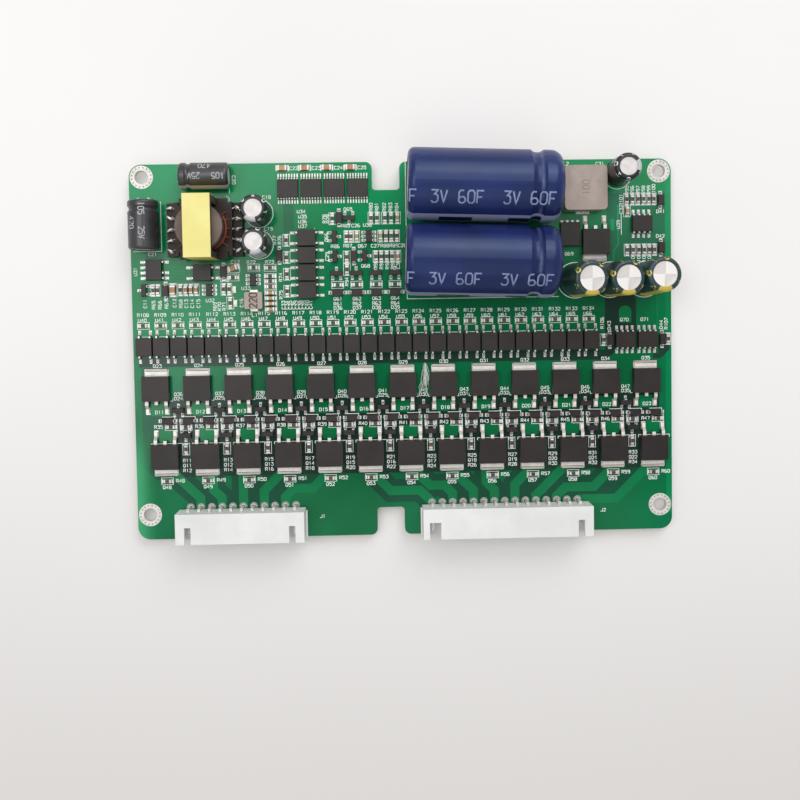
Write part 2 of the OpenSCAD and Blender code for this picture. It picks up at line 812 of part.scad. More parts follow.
module transformer_lower_core() {
    color("dimgray") tf_place() translate([0, 0, core_mid_z]) core_half();
}

module transformer_upper_core() {
    color("dimgray") tf_place() translate([0, 0, core_mid_z]) mirror([0, 0, 1]) core_half();
}

module transformer_tape() {
    in_l = core_l + 2 * skin_gap;
    in_h = core_h + 2 * skin_gap;
    color("khaki") tf_place() translate([0, 0, core_mid_z]) rotate([90, 0, 90])
        linear_extrude(core_w + 2 * tape_t, center = true) difference() {
            square([in_l + 2 * tape_t, in_h + 2 * tape_t], center = true);
            square([in_l, in_h], center = true);
        }
}

module transformer_bobbin() {
    color([0.13, 0.12, 0.12]) tf_place() difference() {
        union() {
            translate([0, 0, flange_low_z]) linear_extrude(flange_t) bobbin_floor();
            translate([0, 0, flange_high_z]) cylinder(d = drum_d, h = flange_t);
            translate([0, 0, flange_low_z]) cylinder(d = tube_d, h = flange_high_z - flange_low_z + eps);
            for (s = [-1, 1]) {
                translate([s * tf_row - rail_w / 2, -rail_l / 2, 0]) cube([rail_w, rail_l, rail_h]);
                translate([s * (rail_in - rail_web / 2) - rail_web / 2 - eps, -rail_l / 2, 0])
                    cube([rail_web + 2 * eps, rail_l, flange_low_z + flange_t]);
            }
        }
        translate([0, 0, flange_low_z - 1]) cylinder(d = tube_d - 2 * tube_wall, h = core_h);
        tf_pin_places() cylinder(d = tf_pin_d + 2 * fit, h = core_h);
    }
}

// Lower flange: a plate between the rails' webs with ears beside the core's outer legs
module bobbin_floor() {
    difference() {
        union() {
            square([2 * rail_in, drum_d], center = true);
            square([2 * ear_x, core_l], center = true);
        }
        for (s = [-1, 1])
            translate([0, s * (core_l - core_leg) / 2])
                square([core_w + 2 * hole_fit, core_leg + 2 * fit], center = true);
    }
}

module transformer_winding() {
    low = flange_low_z + flange_t;
    color("sienna") tf_place() translate([0, 0, low]) difference() {
        cylinder(d = drum_d - 0.4, h = flange_high_z - low);
        translate([0, 0, -1]) cylinder(d = tube_d + 2 * fit, h = core_h);
    }
}

module tf_pin_places() {
    for (s = [-1, 1], i = [0:tf_ways - 1])
        translate([s * tf_row, (i - (tf_ways - 1) / 2) * tf_pitch, 0]) children();
}

module transformer_hole_places() {
    tf_place() tf_pin_places() children();
}

module transformer_pins() {
    color("silver") tf_place() tf_pin_places() translate([0, 0, -board_t - tail])
        cylinder(d = tf_pin_d, h = board_t + tail + rail_h + tf_pin_top);
}

// Moulded inductors on two flat terminals

module inductor_body(size, r, term) {
    translate([0, 0, term[2]]) linear_extrude(size[2] - term[2]) rounded_plate(size[0], size[1], r);
}

module inductor_terminals(size, term) {
    for (s = [-1, 1])
        translate([-term[0] / 2, s * (size[1] / 2 + term_out - term[1] / 2) - term[1] / 2, 0]) cube(term);
}

module power_inductor_body() {
    color([0.66, 0.61, 0.58]) at_each(RIGHT, [choke_at]) inductor_body(choke, choke_r, choke_term);
}

module power_inductor_terminals() {
    color("silver") at_each(RIGHT, [choke_at]) inductor_terminals(choke, choke_term);
}

module small_inductor_body() {
    color([0.66, 0.61, 0.58]) at_each(LEFT, [coil_at]) inductor_body(coil, coil_r, coil_term);
}

module small_inductor_terminals() {
    color("silver") at_each(LEFT, [coil_at]) inductor_terminals(coil, coil_term);
}

// Tab transistors: the body is moulded over the paddle, whose tab points to +Y

module tab_transistor_body() {
    color([0.2, 0.18, 0.18]) difference() {
        moulded(fet_w, fet_l, fet_h);
        paddle();
    }
}

module paddle() {
    translate([-fet_tab_w / 2, fet_l / 2 - fet_paddle_in, 0])
        cube([fet_tab_w, fet_paddle_in + fet_tab_l, fet_lead_t]);
}

module tab_transistor_frame() {
    color("silver") {
        paddle();
        for (s = [-1, 1])
            translate([s * fet_lead_pitch, -fet_l / 2, 0])
                gull(fet_lead_l, fet_lead_z, fet_lead_l * 0.4, fet_lead_w, fet_lead_t);
        translate([-fet_lead_w / 2, -fet_l / 2 - fet_stub_l, fet_lead_z - fet_lead_t / 2])
            cube([fet_lead_w, fet_stub_l, fet_lead_t]);
    }
}

function fet_x(i) = fet_x0 + i * fet_pitch;

module upper_fet_places() {
    at_each(BOTTOM, [for (i = [0:fet_count - 1]) [fet_x(i), fet_upper_y, 0]]) children();
}

module lower_fet_places() {
    at_each(BOTTOM, [for (i = [0:fet_count - 1]) [fet_x(i) + fet_stagger, fet_lower_y, 180]]) children();
}

module upper_transistor_bodies() { upper_fet_places() tab_transistor_body(); }
module upper_transistor_frames() { upper_fet_places() tab_transistor_frame(); }
module lower_transistor_bodies() { lower_fet_places() tab_transistor_body(); }
module lower_transistor_frames() { lower_fet_places() tab_transistor_frame(); }

module switch_transistor_body() {
    at_each(RIGHT, [[extra_fet_at[0], extra_fet_at[1], 180]]) tab_transistor_body();
}

module switch_transistor_frame() {
    at_each(RIGHT, [[extra_fet_at[0], extra_fet_at[1], 180]]) tab_transistor_frame();
}

module flat_transistor_body() {
    color([0.2, 0.18, 0.18]) at_each(RIGHT, [flat_fet_at]) difference() {
        moulded(flat_fet[0], flat_fet[1], flat_fet[2]);
        flat_fet_leads();
    }
}

module flat_fet_leads() {
    for (i = [0:3])
        translate([(i - 1.5) * flat_fet_pitch - flat_fet_lead[0] / 2,
                   flat_fet[1] / 2 + flat_fet_lead_out - flat_fet_lead[1], 0])
            cube(flat_fet_lead);
}

module flat_transistor_leads() {
    color("silver") at_each(RIGHT, [flat_fet_at]) flat_fet_leads();
}

// Optocouplers and isolators

opto_places = [
    for (k = [0:opto_count - 1]) [-board_l / 2 + opto_row_left + k * opto_pitch, opto_row_y, 0]
];
isolator_places = [
    for (i = [0:isolator_count - 1]) [isolator_x, isolator_y0 + i * isolator_pitch, 90]
];

module opto_body(w) {
    color([0.2, 0.18, 0.18]) marked_body([w, opto_l, opto_h]);
}

module opto_leads(w) {
    color("silver")
        gull_rows([w, opto_l, opto_h], 2, opto_lead_pitch, opto_lead_l, opto_foot, opto_lead_w, opto_lead_t);
}

module optocoupler_bodies() { at_each(MIDDLE, opto_places) opto_body(opto_w); }
module optocoupler_leads() { at_each(MIDDLE, opto_places) opto_leads(opto_w); }

module isolator_bodies() {
    at_each(MIDDLE, isolator_places) opto_body(isolator_w);
    at_each(LEFT, [[lone_isolator_at[0], lone_isolator_at[1], 90]]) opto_body(isolator_w);
}

module isolator_leads() {
    at_each(MIDDLE, isolator_places) opto_leads(isolator_w);
    at_each(LEFT, [[lone_isolator_at[0], lone_isolator_at[1], 90]]) opto_leads(isolator_w);
}

// Logic, small-outline and small transistor packages

module logic_bodies() {
    color([0.2, 0.18, 0.18]) at_each(MIDDLE, logic_at) marked_body(logic);
}

module logic_leads() {
    color("silver") at_each(MIDDLE, logic_at)
        gull_rows(logic, logic_ways, logic_pitch, logic_lead_l, logic_lead_l / 2, logic_lead_w, logic_lead_t);
}

module small_outline_bodies() {
    color([0.2, 0.18, 0.18]) {
        at_each(RIGHT, so_at_right) marked_body(so);
        at_each(LEFT, so_at_left) rotate(-90) marked_body(so);
    }
}

module small_outline_leads() {
    color("silver") {
        at_each(RIGHT, so_at_right)
            gull_rows(so, 4, so_pitch, so_lead_l, so_lead_l / 2, so_lead_w, so_lead_t);
        at_each(LEFT, so_at_left) rotate(-90)
            gull_rows(so, 4, so_pitch, so_lead_l, so_lead_l / 2, so_lead_w, so_lead_t, [so_missing_lead]);
    }
}

sot_rows = concat(
    [for (i = [0:fet_count - 2]) [fet_x(i) + sot_upper_dx, sot_upper_y, 0]],
    [for (i = [0:fet_count - 2]) [fet_x(i) + fet_stagger + sot_lower_dx, sot_lower_y, 180]]
);

module sot_places() {
    at_each(BOTTOM, sot_rows) children();
    at_each(LEFT, sot_left) children();
    at_each(MIDDLE, sot_middle) children();
}

module sot6_places() {
    at_each(LEFT, sot6_left) children();
    at_each(MIDDLE, sot6_middle) children();
}

module small_transistor_bodies() {
    color([0.2, 0.18, 0.18]) {
        sot_places() raised_body(sot);
        sot6_places() raised_body(sot6);
    }
}

module small_transistor_leads() {
    rise = lead_standoff + sot[2] / 2;
    color("silver") {
        sot_places() {
            for (s = [-1, 1])
                translate([s * sot_pitch, -sot[1] / 2, 0])
                    gull(sot_lead_l, rise, small_foot, sot_lead_w, sot_lead_t);
            translate([0, sot[1] / 2, 0]) rotate(180)
                gull(sot_lead_l, rise, small_foot, sot_lead_w, sot_lead_t);
        }
        sot6_places() gull_rows(sot6, 3, sot_pitch, sot_lead_l, small_foot, sot_lead_w, sot_lead_t);
    }
}

// Diodes, drawn along X

diode_row = [for (k = [0:2 * fet_count - 2]) [fet_x(0) + diode_row_dx + k * fet_pitch / 2, diode_row_y, 0]];

module diode_places() {
    at_each(BOTTOM, diode_row) children();
    at_each(LEFT, diodes_left) children();
    at_each(MIDDLE, diodes_middle) children();
    at_each(RIGHT, diodes_right) children();
}

module diode_bodies() {
    color([0.2, 0.18, 0.18]) diode_places() raised_body(diode);
}

module diode_leads() {
    rise = lead_standoff + diode[2] / 2;
    color("silver") diode_places() for (turn = [90, -90])
        rotate(turn) translate([0, -diode[0] / 2, 0])
            gull(diode_lead_l, rise, diode_foot, diode_lead_w, diode_lead_t);
}

// Chips, drawn along X: resistors, ceramic capacitors and indicators

chip_rows = concat(
    [for (i = [0:fet_count - 1]) [fet_x(i) + chip_row_dx[0], chip_row_y, 0]],
    [for (i = [0:fet_count - 2]) [fet_x(i) + chip_row_dx[1], chip_row_y, 0]],
    [for (i = [0:fet_count - 2]) [fet_x(i) + fet_stagger + gate_chip_dx, gate_chip_y, 90]],
    [for (i = [0:fet_count - 1]) [fet_x(i) + fet_stagger + tab_chip_dx, tab_chip_y, 0]]
);
opto_chips = [for (p = opto_places) [p[0] + opto_chip_dx, opto_chip_y, 0]];

module resistor_places() {
    at_each(BOTTOM, chip_rows) children();
    at_each(MIDDLE, opto_chips) children();
    at_each(LEFT, chips_left) children();
    at_each(MIDDLE, chips_middle) children();
    at_each(RIGHT, chips_right) children();
}

module mlcc_places() {
    at_each(LEFT, mlcc_left) children();
    at_each(MIDDLE, mlcc_middle) children();
    at_each(RIGHT, mlcc_right) children();
}

module mlcc_big_places() {
    at_each(LEFT, mlcc_big_left) children();
    at_each(MIDDLE, mlcc_big_middle) children();
}

module chip_core(size) {
    inset = 0.03;
    translate([-size[0] / 2 + chip_end, -size[1] / 2 + inset, inset])
        cube([size[0] - 2 * chip_end, size[1] - 2 * inset, size[2] - 2 * inset]);
}

module chip_caps(size) {
    for (x = [-size[0] / 2, size[0] / 2 - chip_end])
        translate([x, -size[1] / 2, 0]) cube([chip_end, size[1], size[2]]);
}

resistor = [chip_l, chip_w, chip_h];
mlcc = [chip_l, chip_w, mlcc_h];

module chip_bodies() {
    color([0.15, 0.14, 0.14]) resistor_places() chip_core(resistor);
    color("tan") mlcc_places() chip_core(mlcc);
    color("tan") mlcc_big_places() chip_core(mlcc_big);
}

module chip_ends() {
    color("silver") {
        resistor_places() chip_caps(resistor);
        mlcc_places() chip_caps(mlcc);
        mlcc_big_places() chip_caps(mlcc_big);
    }
}

module indicator_chips() {
    color("ivory") at_each(LEFT, leds_left) {
        translate([-chip_l / 2, -chip_w / 2, 0]) cube([chip_l, chip_w, led_base_h]);
        translate([-led_lens[0] / 2, -chip_w / 2, led_base_h]) cube([led_lens[0], chip_w, led_lens[1]]);
    }
}

// Solder: a cone under the board round every lead, and a ring above it round the header pins

module joint_below(lead_d) {
    translate([0, 0, -board_t - solder_h]) difference() {
        cylinder(d1 = lead_d + 2 * solder_neck, d2 = lead_d + 2 * solder_spread, h = solder_h);
        translate([0, 0, -1]) cylinder(d = lead_d + 2 * fit, h = solder_h + 2);
    }
}

module header_ring() {
    pin_round = pin_s * sqrt(2);
    difference() {
        cylinder(d1 = header_ring_d, d2 = pin_round + 2 * solder_neck, h = header_ring_h);
        translate([0, 0, -1]) cylinder(d = pin_round + 2 * fit, h = header_ring_h + 2);
    }
}

module solder_joints() {
    color("lightgray") {
        header_hole_places() joint_below(pin_s * sqrt(2));
        header_hole_places() header_ring();
        storage_hole_places() joint_below(storage_lead_d);
        cap_hole_places() joint_below(cap_lead_d);
        transformer_hole_places() joint_below(tf_pin_d);
    }
}

pcb();
mounting_rings();
header_housing(header_a_x, header_a_ways, latch_slot_w);  // header_a_housing
header_pins(header_a_x, header_a_ways);  // header_a_pins
header_housing(header_b_x, header_b_ways, key_slot_w);  // header_b_housing
header_pins(header_b_x, header_b_ways);  // header_b_pins
storage_can(0);  // storage_cap_1_can
storage_sleeve(0);  // storage_cap_1_sleeve
storage_seal(0);  // storage_cap_1_seal
storage_leads(0);  // storage_cap_1_leads
storage_can(1);  // storage_cap_2_can
storage_sleeve(1);  // storage_cap_2_sleeve
storage_seal(1);  // storage_cap_2_seal
storage_leads(1);  // storage_cap_2_leads
output_cap_cans();
output_cap_sleeves();
output_cap_seals();
output_cap_leads();
upright_cap_cans();
upright_cap_sleeves();
upright_cap_seals();
upright_cap_leads();
lying_cap_cans();
lying_cap_sleeves();
lying_cap_seals();
lying_cap_leads();
transformer_bobbin();
transformer_winding();
transformer_upper_core();
transformer_lower_core();
transformer_tape();
transformer_pins();
power_inductor_body();
power_inductor_terminals();
small_inductor_body();
small_inductor_terminals();
upper_transistor_bodies();
upper_transistor_frames();
lower_transistor_bodies();
lower_transistor_frames();
switch_transistor_body();
switch_transistor_frame();
flat_transistor_body();
flat_transistor_leads();
optocoupler_bodies();
optocoupler_leads();
isolator_bodies();
isolator_leads();
logic_bodies();
logic_leads();
small_outline_bodies();
small_outline_leads();
small_transistor_bodies();
small_transistor_leads();
diode_bodies();
diode_leads();
chip_bodies();
chip_ends();
indicator_chips();
solder_joints();
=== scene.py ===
"""Looks of the active balancer board: finishes, solder, copper, print and wire round the solid frame."""
import math
import random
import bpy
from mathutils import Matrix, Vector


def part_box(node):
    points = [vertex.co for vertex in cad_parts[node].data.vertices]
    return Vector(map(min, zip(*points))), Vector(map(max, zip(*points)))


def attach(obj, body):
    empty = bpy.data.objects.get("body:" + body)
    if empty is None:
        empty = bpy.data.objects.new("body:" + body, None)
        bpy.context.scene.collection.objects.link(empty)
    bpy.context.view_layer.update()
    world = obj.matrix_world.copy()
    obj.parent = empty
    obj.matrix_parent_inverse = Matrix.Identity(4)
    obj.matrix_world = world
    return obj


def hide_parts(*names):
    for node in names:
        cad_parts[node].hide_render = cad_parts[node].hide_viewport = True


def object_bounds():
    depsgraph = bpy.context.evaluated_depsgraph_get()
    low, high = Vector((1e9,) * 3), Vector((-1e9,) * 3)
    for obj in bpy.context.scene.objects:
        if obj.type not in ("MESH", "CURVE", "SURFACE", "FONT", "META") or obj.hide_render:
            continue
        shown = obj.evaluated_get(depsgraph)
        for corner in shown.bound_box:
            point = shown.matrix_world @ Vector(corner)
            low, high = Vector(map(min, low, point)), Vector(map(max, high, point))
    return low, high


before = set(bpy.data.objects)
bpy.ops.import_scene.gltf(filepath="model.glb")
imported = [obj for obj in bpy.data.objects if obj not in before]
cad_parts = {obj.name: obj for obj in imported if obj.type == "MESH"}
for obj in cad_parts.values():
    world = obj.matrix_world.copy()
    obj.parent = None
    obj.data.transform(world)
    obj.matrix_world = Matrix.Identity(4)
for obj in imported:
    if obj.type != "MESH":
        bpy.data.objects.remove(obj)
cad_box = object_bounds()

from types import SimpleNamespace

import bpy
import numpy as np
from mathutils import Matrix, Vector

MM = 0.001
UP = Vector((0, 0, 1))
dice = random.Random(20)

# The board, in millimetres; places below are measured from the middle of its upper face
PCB_LOW, PCB_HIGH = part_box("pcb")
CENTRE = ((PCB_LOW + PCB_HIGH) / 2 / MM).to_2d().to_3d() + Vector((0, 0, PCB_HIGH.z / MM))


def in_frame(x, y, z=0.0):
    """A place on the board, in metres of the shared frame."""
    return (Vector((x, y, z)) + CENTRE) * MM


def add_object(name, data):
    made = bpy.data.objects.new(name, data)
    bpy.context.scene.collection.objects.link(made)
    return made


def around(sides):
    """Equal turns round a circle, in radians."""
    return [2 * math.pi * k / sides for k in range(sides)]


# Shaders are written as expressions

def arithmetic(operation, swapped=False):
    """An operator that adds one Math node; swapped puts the other value first."""
    def operator(self, other):
        return self.math(operation, other, self) if swapped else self.math(operation, self, other)
    return operator


class Wire:
    """One output of a shader node; arithmetic on it adds Math nodes."""

    def __init__(self, tree, made, output=0):
        self.tree = tree
        self.made = made
        self.socket = made.outputs[output]

    def out(self, name):
        return Wire(self.tree, self.made, name)

    def math(self, operation, *values):
        return self.tree.node("ShaderNodeMath", {"operation": operation}, dict(enumerate(values)))

    __add__ = arithmetic("ADD")
    __radd__ = arithmetic("ADD", True)
    __sub__ = arithmetic("SUBTRACT")
    __rsub__ = arithmetic("SUBTRACT", True)
    __mul__ = arithmetic("MULTIPLY")
    __rmul__ = arithmetic("MULTIPLY", True)
    __truediv__ = arithmetic("DIVIDE")
    __rtruediv__ = arithmetic("DIVIDE", True)
    __mod__ = arithmetic("FLOORED_MODULO")
    __lt__ = arithmetic("LESS_THAN")

    def __abs__(self):
        return self.math("ABSOLUTE", self)

    def sine(self):
        return self.math("SINE", self)

    def rise(self, low, high):
        """0 below low and 1 above high, smooth between."""
        settings = {"interpolation_type": "SMOOTHSTEP"}
        return self.tree.node("ShaderNodeMapRange", settings, {"Value": self, 1: low, 2: high})

    def band(self, low, high, soft):
        """1 between low and high, with soft edges."""
        return self.rise(low - soft, low + soft) * (1 - self.rise(high - soft, high + soft))


class Tree:
    """A node tree of a material or of the world."""

    def __init__(self, owner, shader):
        owner.use_nodes = True
        self.nodes = owner.node_tree.nodes
        self.links = owner.node_tree.links
        self.shader = self.nodes[shader]

    def node(self, kind, settings=None, inputs=None, output=0):
        """Any node: its type, its settings, then the values or links of its sockets."""
        made = self.nodes.new(kind)
        for key, value in (settings or {}).items():
            setattr(made, key, value)
        for key, value in (inputs or {}).items():
            self.feed(made.inputs[key], value)
        return Wire(self, made, output)

    def feed(self, socket, value):
        if isinstance(value, Wire):
            self.links.new(value.socket, socket)
        elif socket.type == "RGBA":
            socket.default_value = (*value, 1)
        else:
            socket.default_value = value

    def set(self, inputs):
        for name, value in inputs.items():
            self.feed(self.shader.inputs[name], value)

    def place(self, space="Object"):
        """Where a shaded point is; Object is the shared frame."""
        return self.node("ShaderNodeTexCoord", output=space)

    def split(self, vector):
        parts = self.node("ShaderNodeSeparateXYZ", None, {0: vector})
        return parts.out("X"), parts.out("Y"), parts.out("Z")

    def along(self, vector, origin, direction):
        """Millimetres from an origin along a direction."""
        offset = self.node("ShaderNodeVectorMath", {"operation": "SUBTRACT"}, {0: vector, 1: origin})
        inputs = {0: offset, 1: direction}
        return self.node("ShaderNodeVectorMath", {"operation": "DOT_PRODUCT"}, inputs, "Value") / MM

    def angle(self, across, out):
        """Degrees round an axis, from the direction called out."""
        return self.node("ShaderNodeMath", {"operation": "ARCTAN2"}, {0: across, 1: out}) * (180 / math.pi)

    def level(self, low, high):
        """1 on faces that lie level and 0 on steep ones."""
        _, _, up = self.split(self.node("ShaderNodeNewGeometry", output="Normal"))
        return abs(up).rise(low, high)

    def noise(self, scale, detail=2.0, rough=0.5):
        inputs = {"Vector": self.place(), "Scale": scale, "Detail": detail, "Roughness": rough}
        return self.node("ShaderNodeTexNoise", None, inputs)

    def mix(self, share, first, second):
        """A colour between two colours."""
        return self.node("ShaderNodeMix", {"data_type": "RGBA"}, {0: share, 6: first, 7: second}, 2)

    def cloudy(self, scale, first, second, detail=3.0, rough=0.5):
        """Two screen colours mixed in soft clouds."""
        return self.mix(self.noise(scale, detail, rough).rise(0.3, 0.7), shade(*first), shade(*second))

    def bump(self, height, strength, distance):
        inputs = {"Height": height, "Strength": strength, "Distance": distance}
        self.set({"Normal": self.node("ShaderNodeBump", None, inputs)})


class Finish(Tree):
    """A material with one Principled shader."""

    def __init__(self, name, constants=None):
        self.material = bpy.data.materials.new(name)
        super().__init__(self.material, "Principled BSDF")
        self.set(constants or {})


def shade(red, green, blue):
    """A linear colour from screen values of 0 to 255."""
    return tuple(v / 255 / 12.92 if v <= 10 else ((v / 255 + 0.055) / 1.055) ** 2.4
                 for v in (red, green, blue))


# Finishes; their colours are given as screen values

NO_LIGHT = (0, 0, 0)


def mottled(name, dark, light, scale, roughness, gloss=0.5, grain=0.0):
    """A plain surface with uneven colour and gloss."""
    made = Finish(name, {"Specular IOR Level": gloss})
    made.set({"Base Color": made.cloudy(scale, dark, light, 4.0, 0.6),
              "Roughness": roughness - 0.05 + 0.1 * made.noise(scale * 3)})
    if grain:
        made.bump(made.noise(scale * 8, 3.0), 0.4, grain)
    return made.material


WEAVE = 0.0011
WEAVE_TINT = 0.06
# Painted shade: the mask darkens towards the headers, by this share over these millimetres in the shared
# frame
HEADER_SHADE = 0.42
HEADER_SHADE_Y = (-34, 36)
# Painted shade: the mask is darker between the crowded parts, less so at the right
CROWD_SHADE = 0.32
CROWD_LEFT = (-50, -28)
CROWD_RIGHT = (45, 62)
RIGHT_EASE = 0.35
CROWD_LOW = (-46, -22)
CROWD_TOP = (18, 38)
# Painted sheen: the mask is paler towards the lower left corner
CORNER_SHEEN = (75, 176, 122)
CORNER_SHEEN_SHARE = 0.68
CORNER_X = (-65, -58.5)
CORNER_TOP = (-31, -17)
CUT_EDGE = (132, 148, 92)


def mask_finish(name, deep, tint, header_shade=HEADER_SHADE):
    """Green solder mask, with the glass cloth faintly seen in it and bare laminate at the cut edges; painted
    shade darkens it towards the headers and between the crowded parts, and a painted sheen pales it towards
    the lower left corner.
    """
    made = Finish(name, {"Specular IOR Level": 0.24})
    x, y, _ = made.split(made.place())
    weave = (x * (2 * math.pi / WEAVE)).sine() * (y * (2 * math.pi / WEAVE)).sine()
    x, y = x / MM, y / MM
    face = made.cloudy(45, deep, tint, 3.0, 0.55)
    face = made.mix(WEAVE_TINT * weave.rise(-1, 1), face, shade(*tint))
    # Painted shade, darker towards the headers
    face = made.mix(header_shade * (1 - y.rise(*HEADER_SHADE_Y)), face, NO_LIGHT)
    # Painted shade between the crowded parts
    crowd_shade = x.rise(*CROWD_LEFT) * (1 - RIGHT_EASE * x.rise(*CROWD_RIGHT))
    crowd_shade = crowd_shade * y.rise(*CROWD_LOW) * (1 - y.rise(*CROWD_TOP))
    face = made.mix(CROWD_SHADE * crowd_shade, face, NO_LIGHT)
    # Painted sheen towards the lower left corner
    corner = 1 - x.rise(*CORNER_X)
    corner = corner * corner * (1 - y.rise(*CORNER_TOP))
    face = made.mix(CORNER_SHEEN_SHARE * corner, face, shade(*CORNER_SHEEN))
    made.set({"Base Color": made.mix(made.level(0.4, 0.8), shade(*CUT_EDGE), face),
              "Roughness": 0.12 + 0.05 * made.noise(300)})
    made.bump(weave + made.noise(900), 0.06, 0.00002)
    return made.material


def tin_finish(name, dull, bright, roughness, metal, slope_shade=None):
    """Tin or solder, a little cloudy; level faces are bright and sloping faces can take a darker colour of
    painted shade.
    """
    made = Finish(name, {"Metallic": metal})
    face = made.cloudy(800, dull, bright, 4.0, 0.6)
    # Painted shade: sloping faces take the darker slope colour
    if slope_shade:
        face = made.mix(made.level(0.55, 0.95), shade(*slope_shade), face)
    made.set({"Base Color": face, "Roughness": roughness + 0.16 * made.noise(1500)})
    made.bump(made.noise(1700, 3.0), 0.3, 0.00004)
    return made.material


def epoxy_finish(name, dark, light):
    """Moulding compound: dark, warm grey and finely grained."""
    made = Finish(name, {"Specular IOR Level": 0.4})
    grain = made.noise(5200, 2.0, 0.7)
    cloud = made.noise(150, 3.0, 0.55).rise(0.3, 0.7)
    made.set({"Base Color": made.mix(0.75 * cloud + 0.25 * grain, shade(*dark), shade(*light)),
              "Roughness": 0.33 + 0.13 * grain})
    made.bump(grain, 0.35, 0.00002)
    return made.material


NAVY = (25, 38, 94)
NAVY_DEEP = (19, 29, 76)
NAVY_HIGHLIGHT = (112, 118, 152)
NAVY_DASH = (20, 24, 52)
STRIPE_GREY = (140, 149, 176)
BLUE_GLEAM = (0.5, 0.68, 1.0)
COLD_GLEAM = (0.86, 0.92, 1.0)
# The stripe and its dashes: degrees round the can from the stripe's edge, millimetres along it
STRIPE_TURN = (0, 32)
DASH_TURN = (8, 23)
DASH_ALONG = (1, 8.6)
DASH_PITCH = 15.9


def storage_sleeve_finish(name, can):
    """Navy shrink sleeve with a dashed polarity stripe down its lower side, puckers at its ends and a painted
    highlight streak just past its bead.
    """
    made = Finish(name, {"Specular IOR Level": 0.45, "Specular Tint": BLUE_GLEAM, "Coat Roughness": 0.2})
    place = made.place()
    along = made.along(place, can.middle, can.axis)
    side = made.along(place, can.middle, can.side)
    turn = made.angle(-1 * side, made.along(place, can.middle, (0, 0, 1)))
    stripe = turn.band(*(can.stripe + edge for edge in STRIPE_TURN), 0.7)
    dash = turn.band(*(can.stripe + edge for edge in DASH_TURN), 0.5)
    dash = dash * ((along + can.phase) % DASH_PITCH).band(*DASH_ALONG, 0.08)
    skin = made.cloudy(90, NAVY_DEEP, NAVY)
    # Painted highlight: a pale streak just past the bead
    bead_highlight = (along - can.bead - 0.5).band(-0.3, 0.3, 0.3) * made.noise(130, 3.0).rise(0.35, 0.75)
    skin = made.mix(0.6 * bead_highlight, skin, shade(*NAVY_HIGHLIGHT))
    skin = made.mix(stripe, skin, shade(*STRIPE_GREY))
    made.set({"Base Color": made.mix(dash, skin, shade(*NAVY_DASH)),
              "Coat Weight": 0.09 + 0.25 * made.noise(60),
              "Roughness": 0.34 + 0.1 * made.noise(400)})
    ends = abs(along).rise(can.half - 4, can.half)
    beads = (along - can.bead).band(-2.4, 2.4, 1)
    pucker = (turn * math.radians(24) + 5 * made.noise(150)).sine() * (ends + 0.7 * beads)
    made.bump(pucker + 0.5 * made.noise(260), 0.3, 0.00007)
    return made.material


def small_sleeve_finish(name, deep, skin, stripe_shade, gloss, cans):
    """Sleeve of the smaller capacitors, with one stripe down each."""
    made = Finish(name, {"Specular IOR Level": gloss, "Specular Tint": COLD_GLEAM, "Coat Roughness": 0.1})
    place = made.place()
    stripe = 0.0
    for can in cans:
        out = made.along(place, can.middle, can.stripe)
        across = made.along(place, can.middle, can.across)
        near = (abs(out) < can.reach) * (abs(across) < can.reach)
        near = near * (abs(made.along(place, can.middle, can.axis)) < can.half)
        stripe = near * (1 - abs(made.angle(across, out)).rise(can.span - 1, can.span + 1)) + stripe
    made.set({"Base Color": made.mix(stripe, made.cloudy(150, deep, skin), shade(*stripe_shade)),
              "Coat Weight": 0.2 + 0.2 * made.noise(90),
              "Roughness": 0.4 + 0.12 * made.noise(500)})
    made.bump(made.noise(420), 0.2, 0.00005)
    return made.material


# Painted light and shade: lit and shaded colours of the scored quarters
VENT_LIT = (246, 243, 240)
VENT_SHADED = (217, 211, 206)


def vent_finish(name, top, first, second):
    """Bare aluminium with a cross scored in it; quarters that face each other are painted alike, in a lit or
    a shaded colour, as they would catch the light.
    """
    made = Finish(name, {"Metallic": 0.2})
    place = made.place()
    # Painted light and shade: alternate quarters take the lit and the shaded colour
    quarter = (made.along(place, top, first) * made.along(place, top, second)).rise(-0.05, 0.05)
    cloud = made.noise(700, 3.0)
    made.set({"Base Color": made.mix(0.8 * quarter + 0.2 * cloud, shade(*VENT_LIT), shade(*VENT_SHADED)),
              "Roughness": 0.28 + 0.12 * cloud})
    made.bump(made.noise(1500), 0.2, 0.00002)
    return made.material


TAPE_YELLOWS = ((226, 214, 124), (236, 226, 144))
TAPE_SIDE = (196, 172, 60)
TAPE_Z = (4, 14.8)


def tape_finish(name):
    """Yellow polyester tape, deeper in colour down its sides."""
    made = Finish(name, {"Specular IOR Level": 0.4})
    _, _, z = made.split(made.place())
    base = made.mix(made.noise(120, 3.0).rise(0.25, 0.75), *(shade(*tone) for tone in TAPE_YELLOWS))
    made.set({"Base Color": made.mix(1 - (z / MM).rise(*TAPE_Z), base, shade(*TAPE_SIDE)),
              "Roughness": 0.34 + 0.15 * made.noise(260)})
    made.bump(made.noise(180), 0.25, 0.00008)
    return made.material


WRAP_Z = (6, 6.4)


def bobbin_finish(name):
    """Black moulding; the flange above the winding is wrapped in grey-brown tape."""
    made = Finish(name, {"Specular IOR Level": 0.25})
    _, _, z = made.split(made.place())
    mould = made.cloudy(200, (44, 36, 32), (62, 52, 47))
    wrap = made.cloudy(160, (98, 84, 76), (122, 107, 98))
    made.set({"Base Color": made.mix((z / MM).rise(*WRAP_Z), mould, wrap),
              "Roughness": 0.45 + 0.12 * made.noise(300)})
    made.bump(made.noise(260), 0.3, 0.00003)
    return made.material


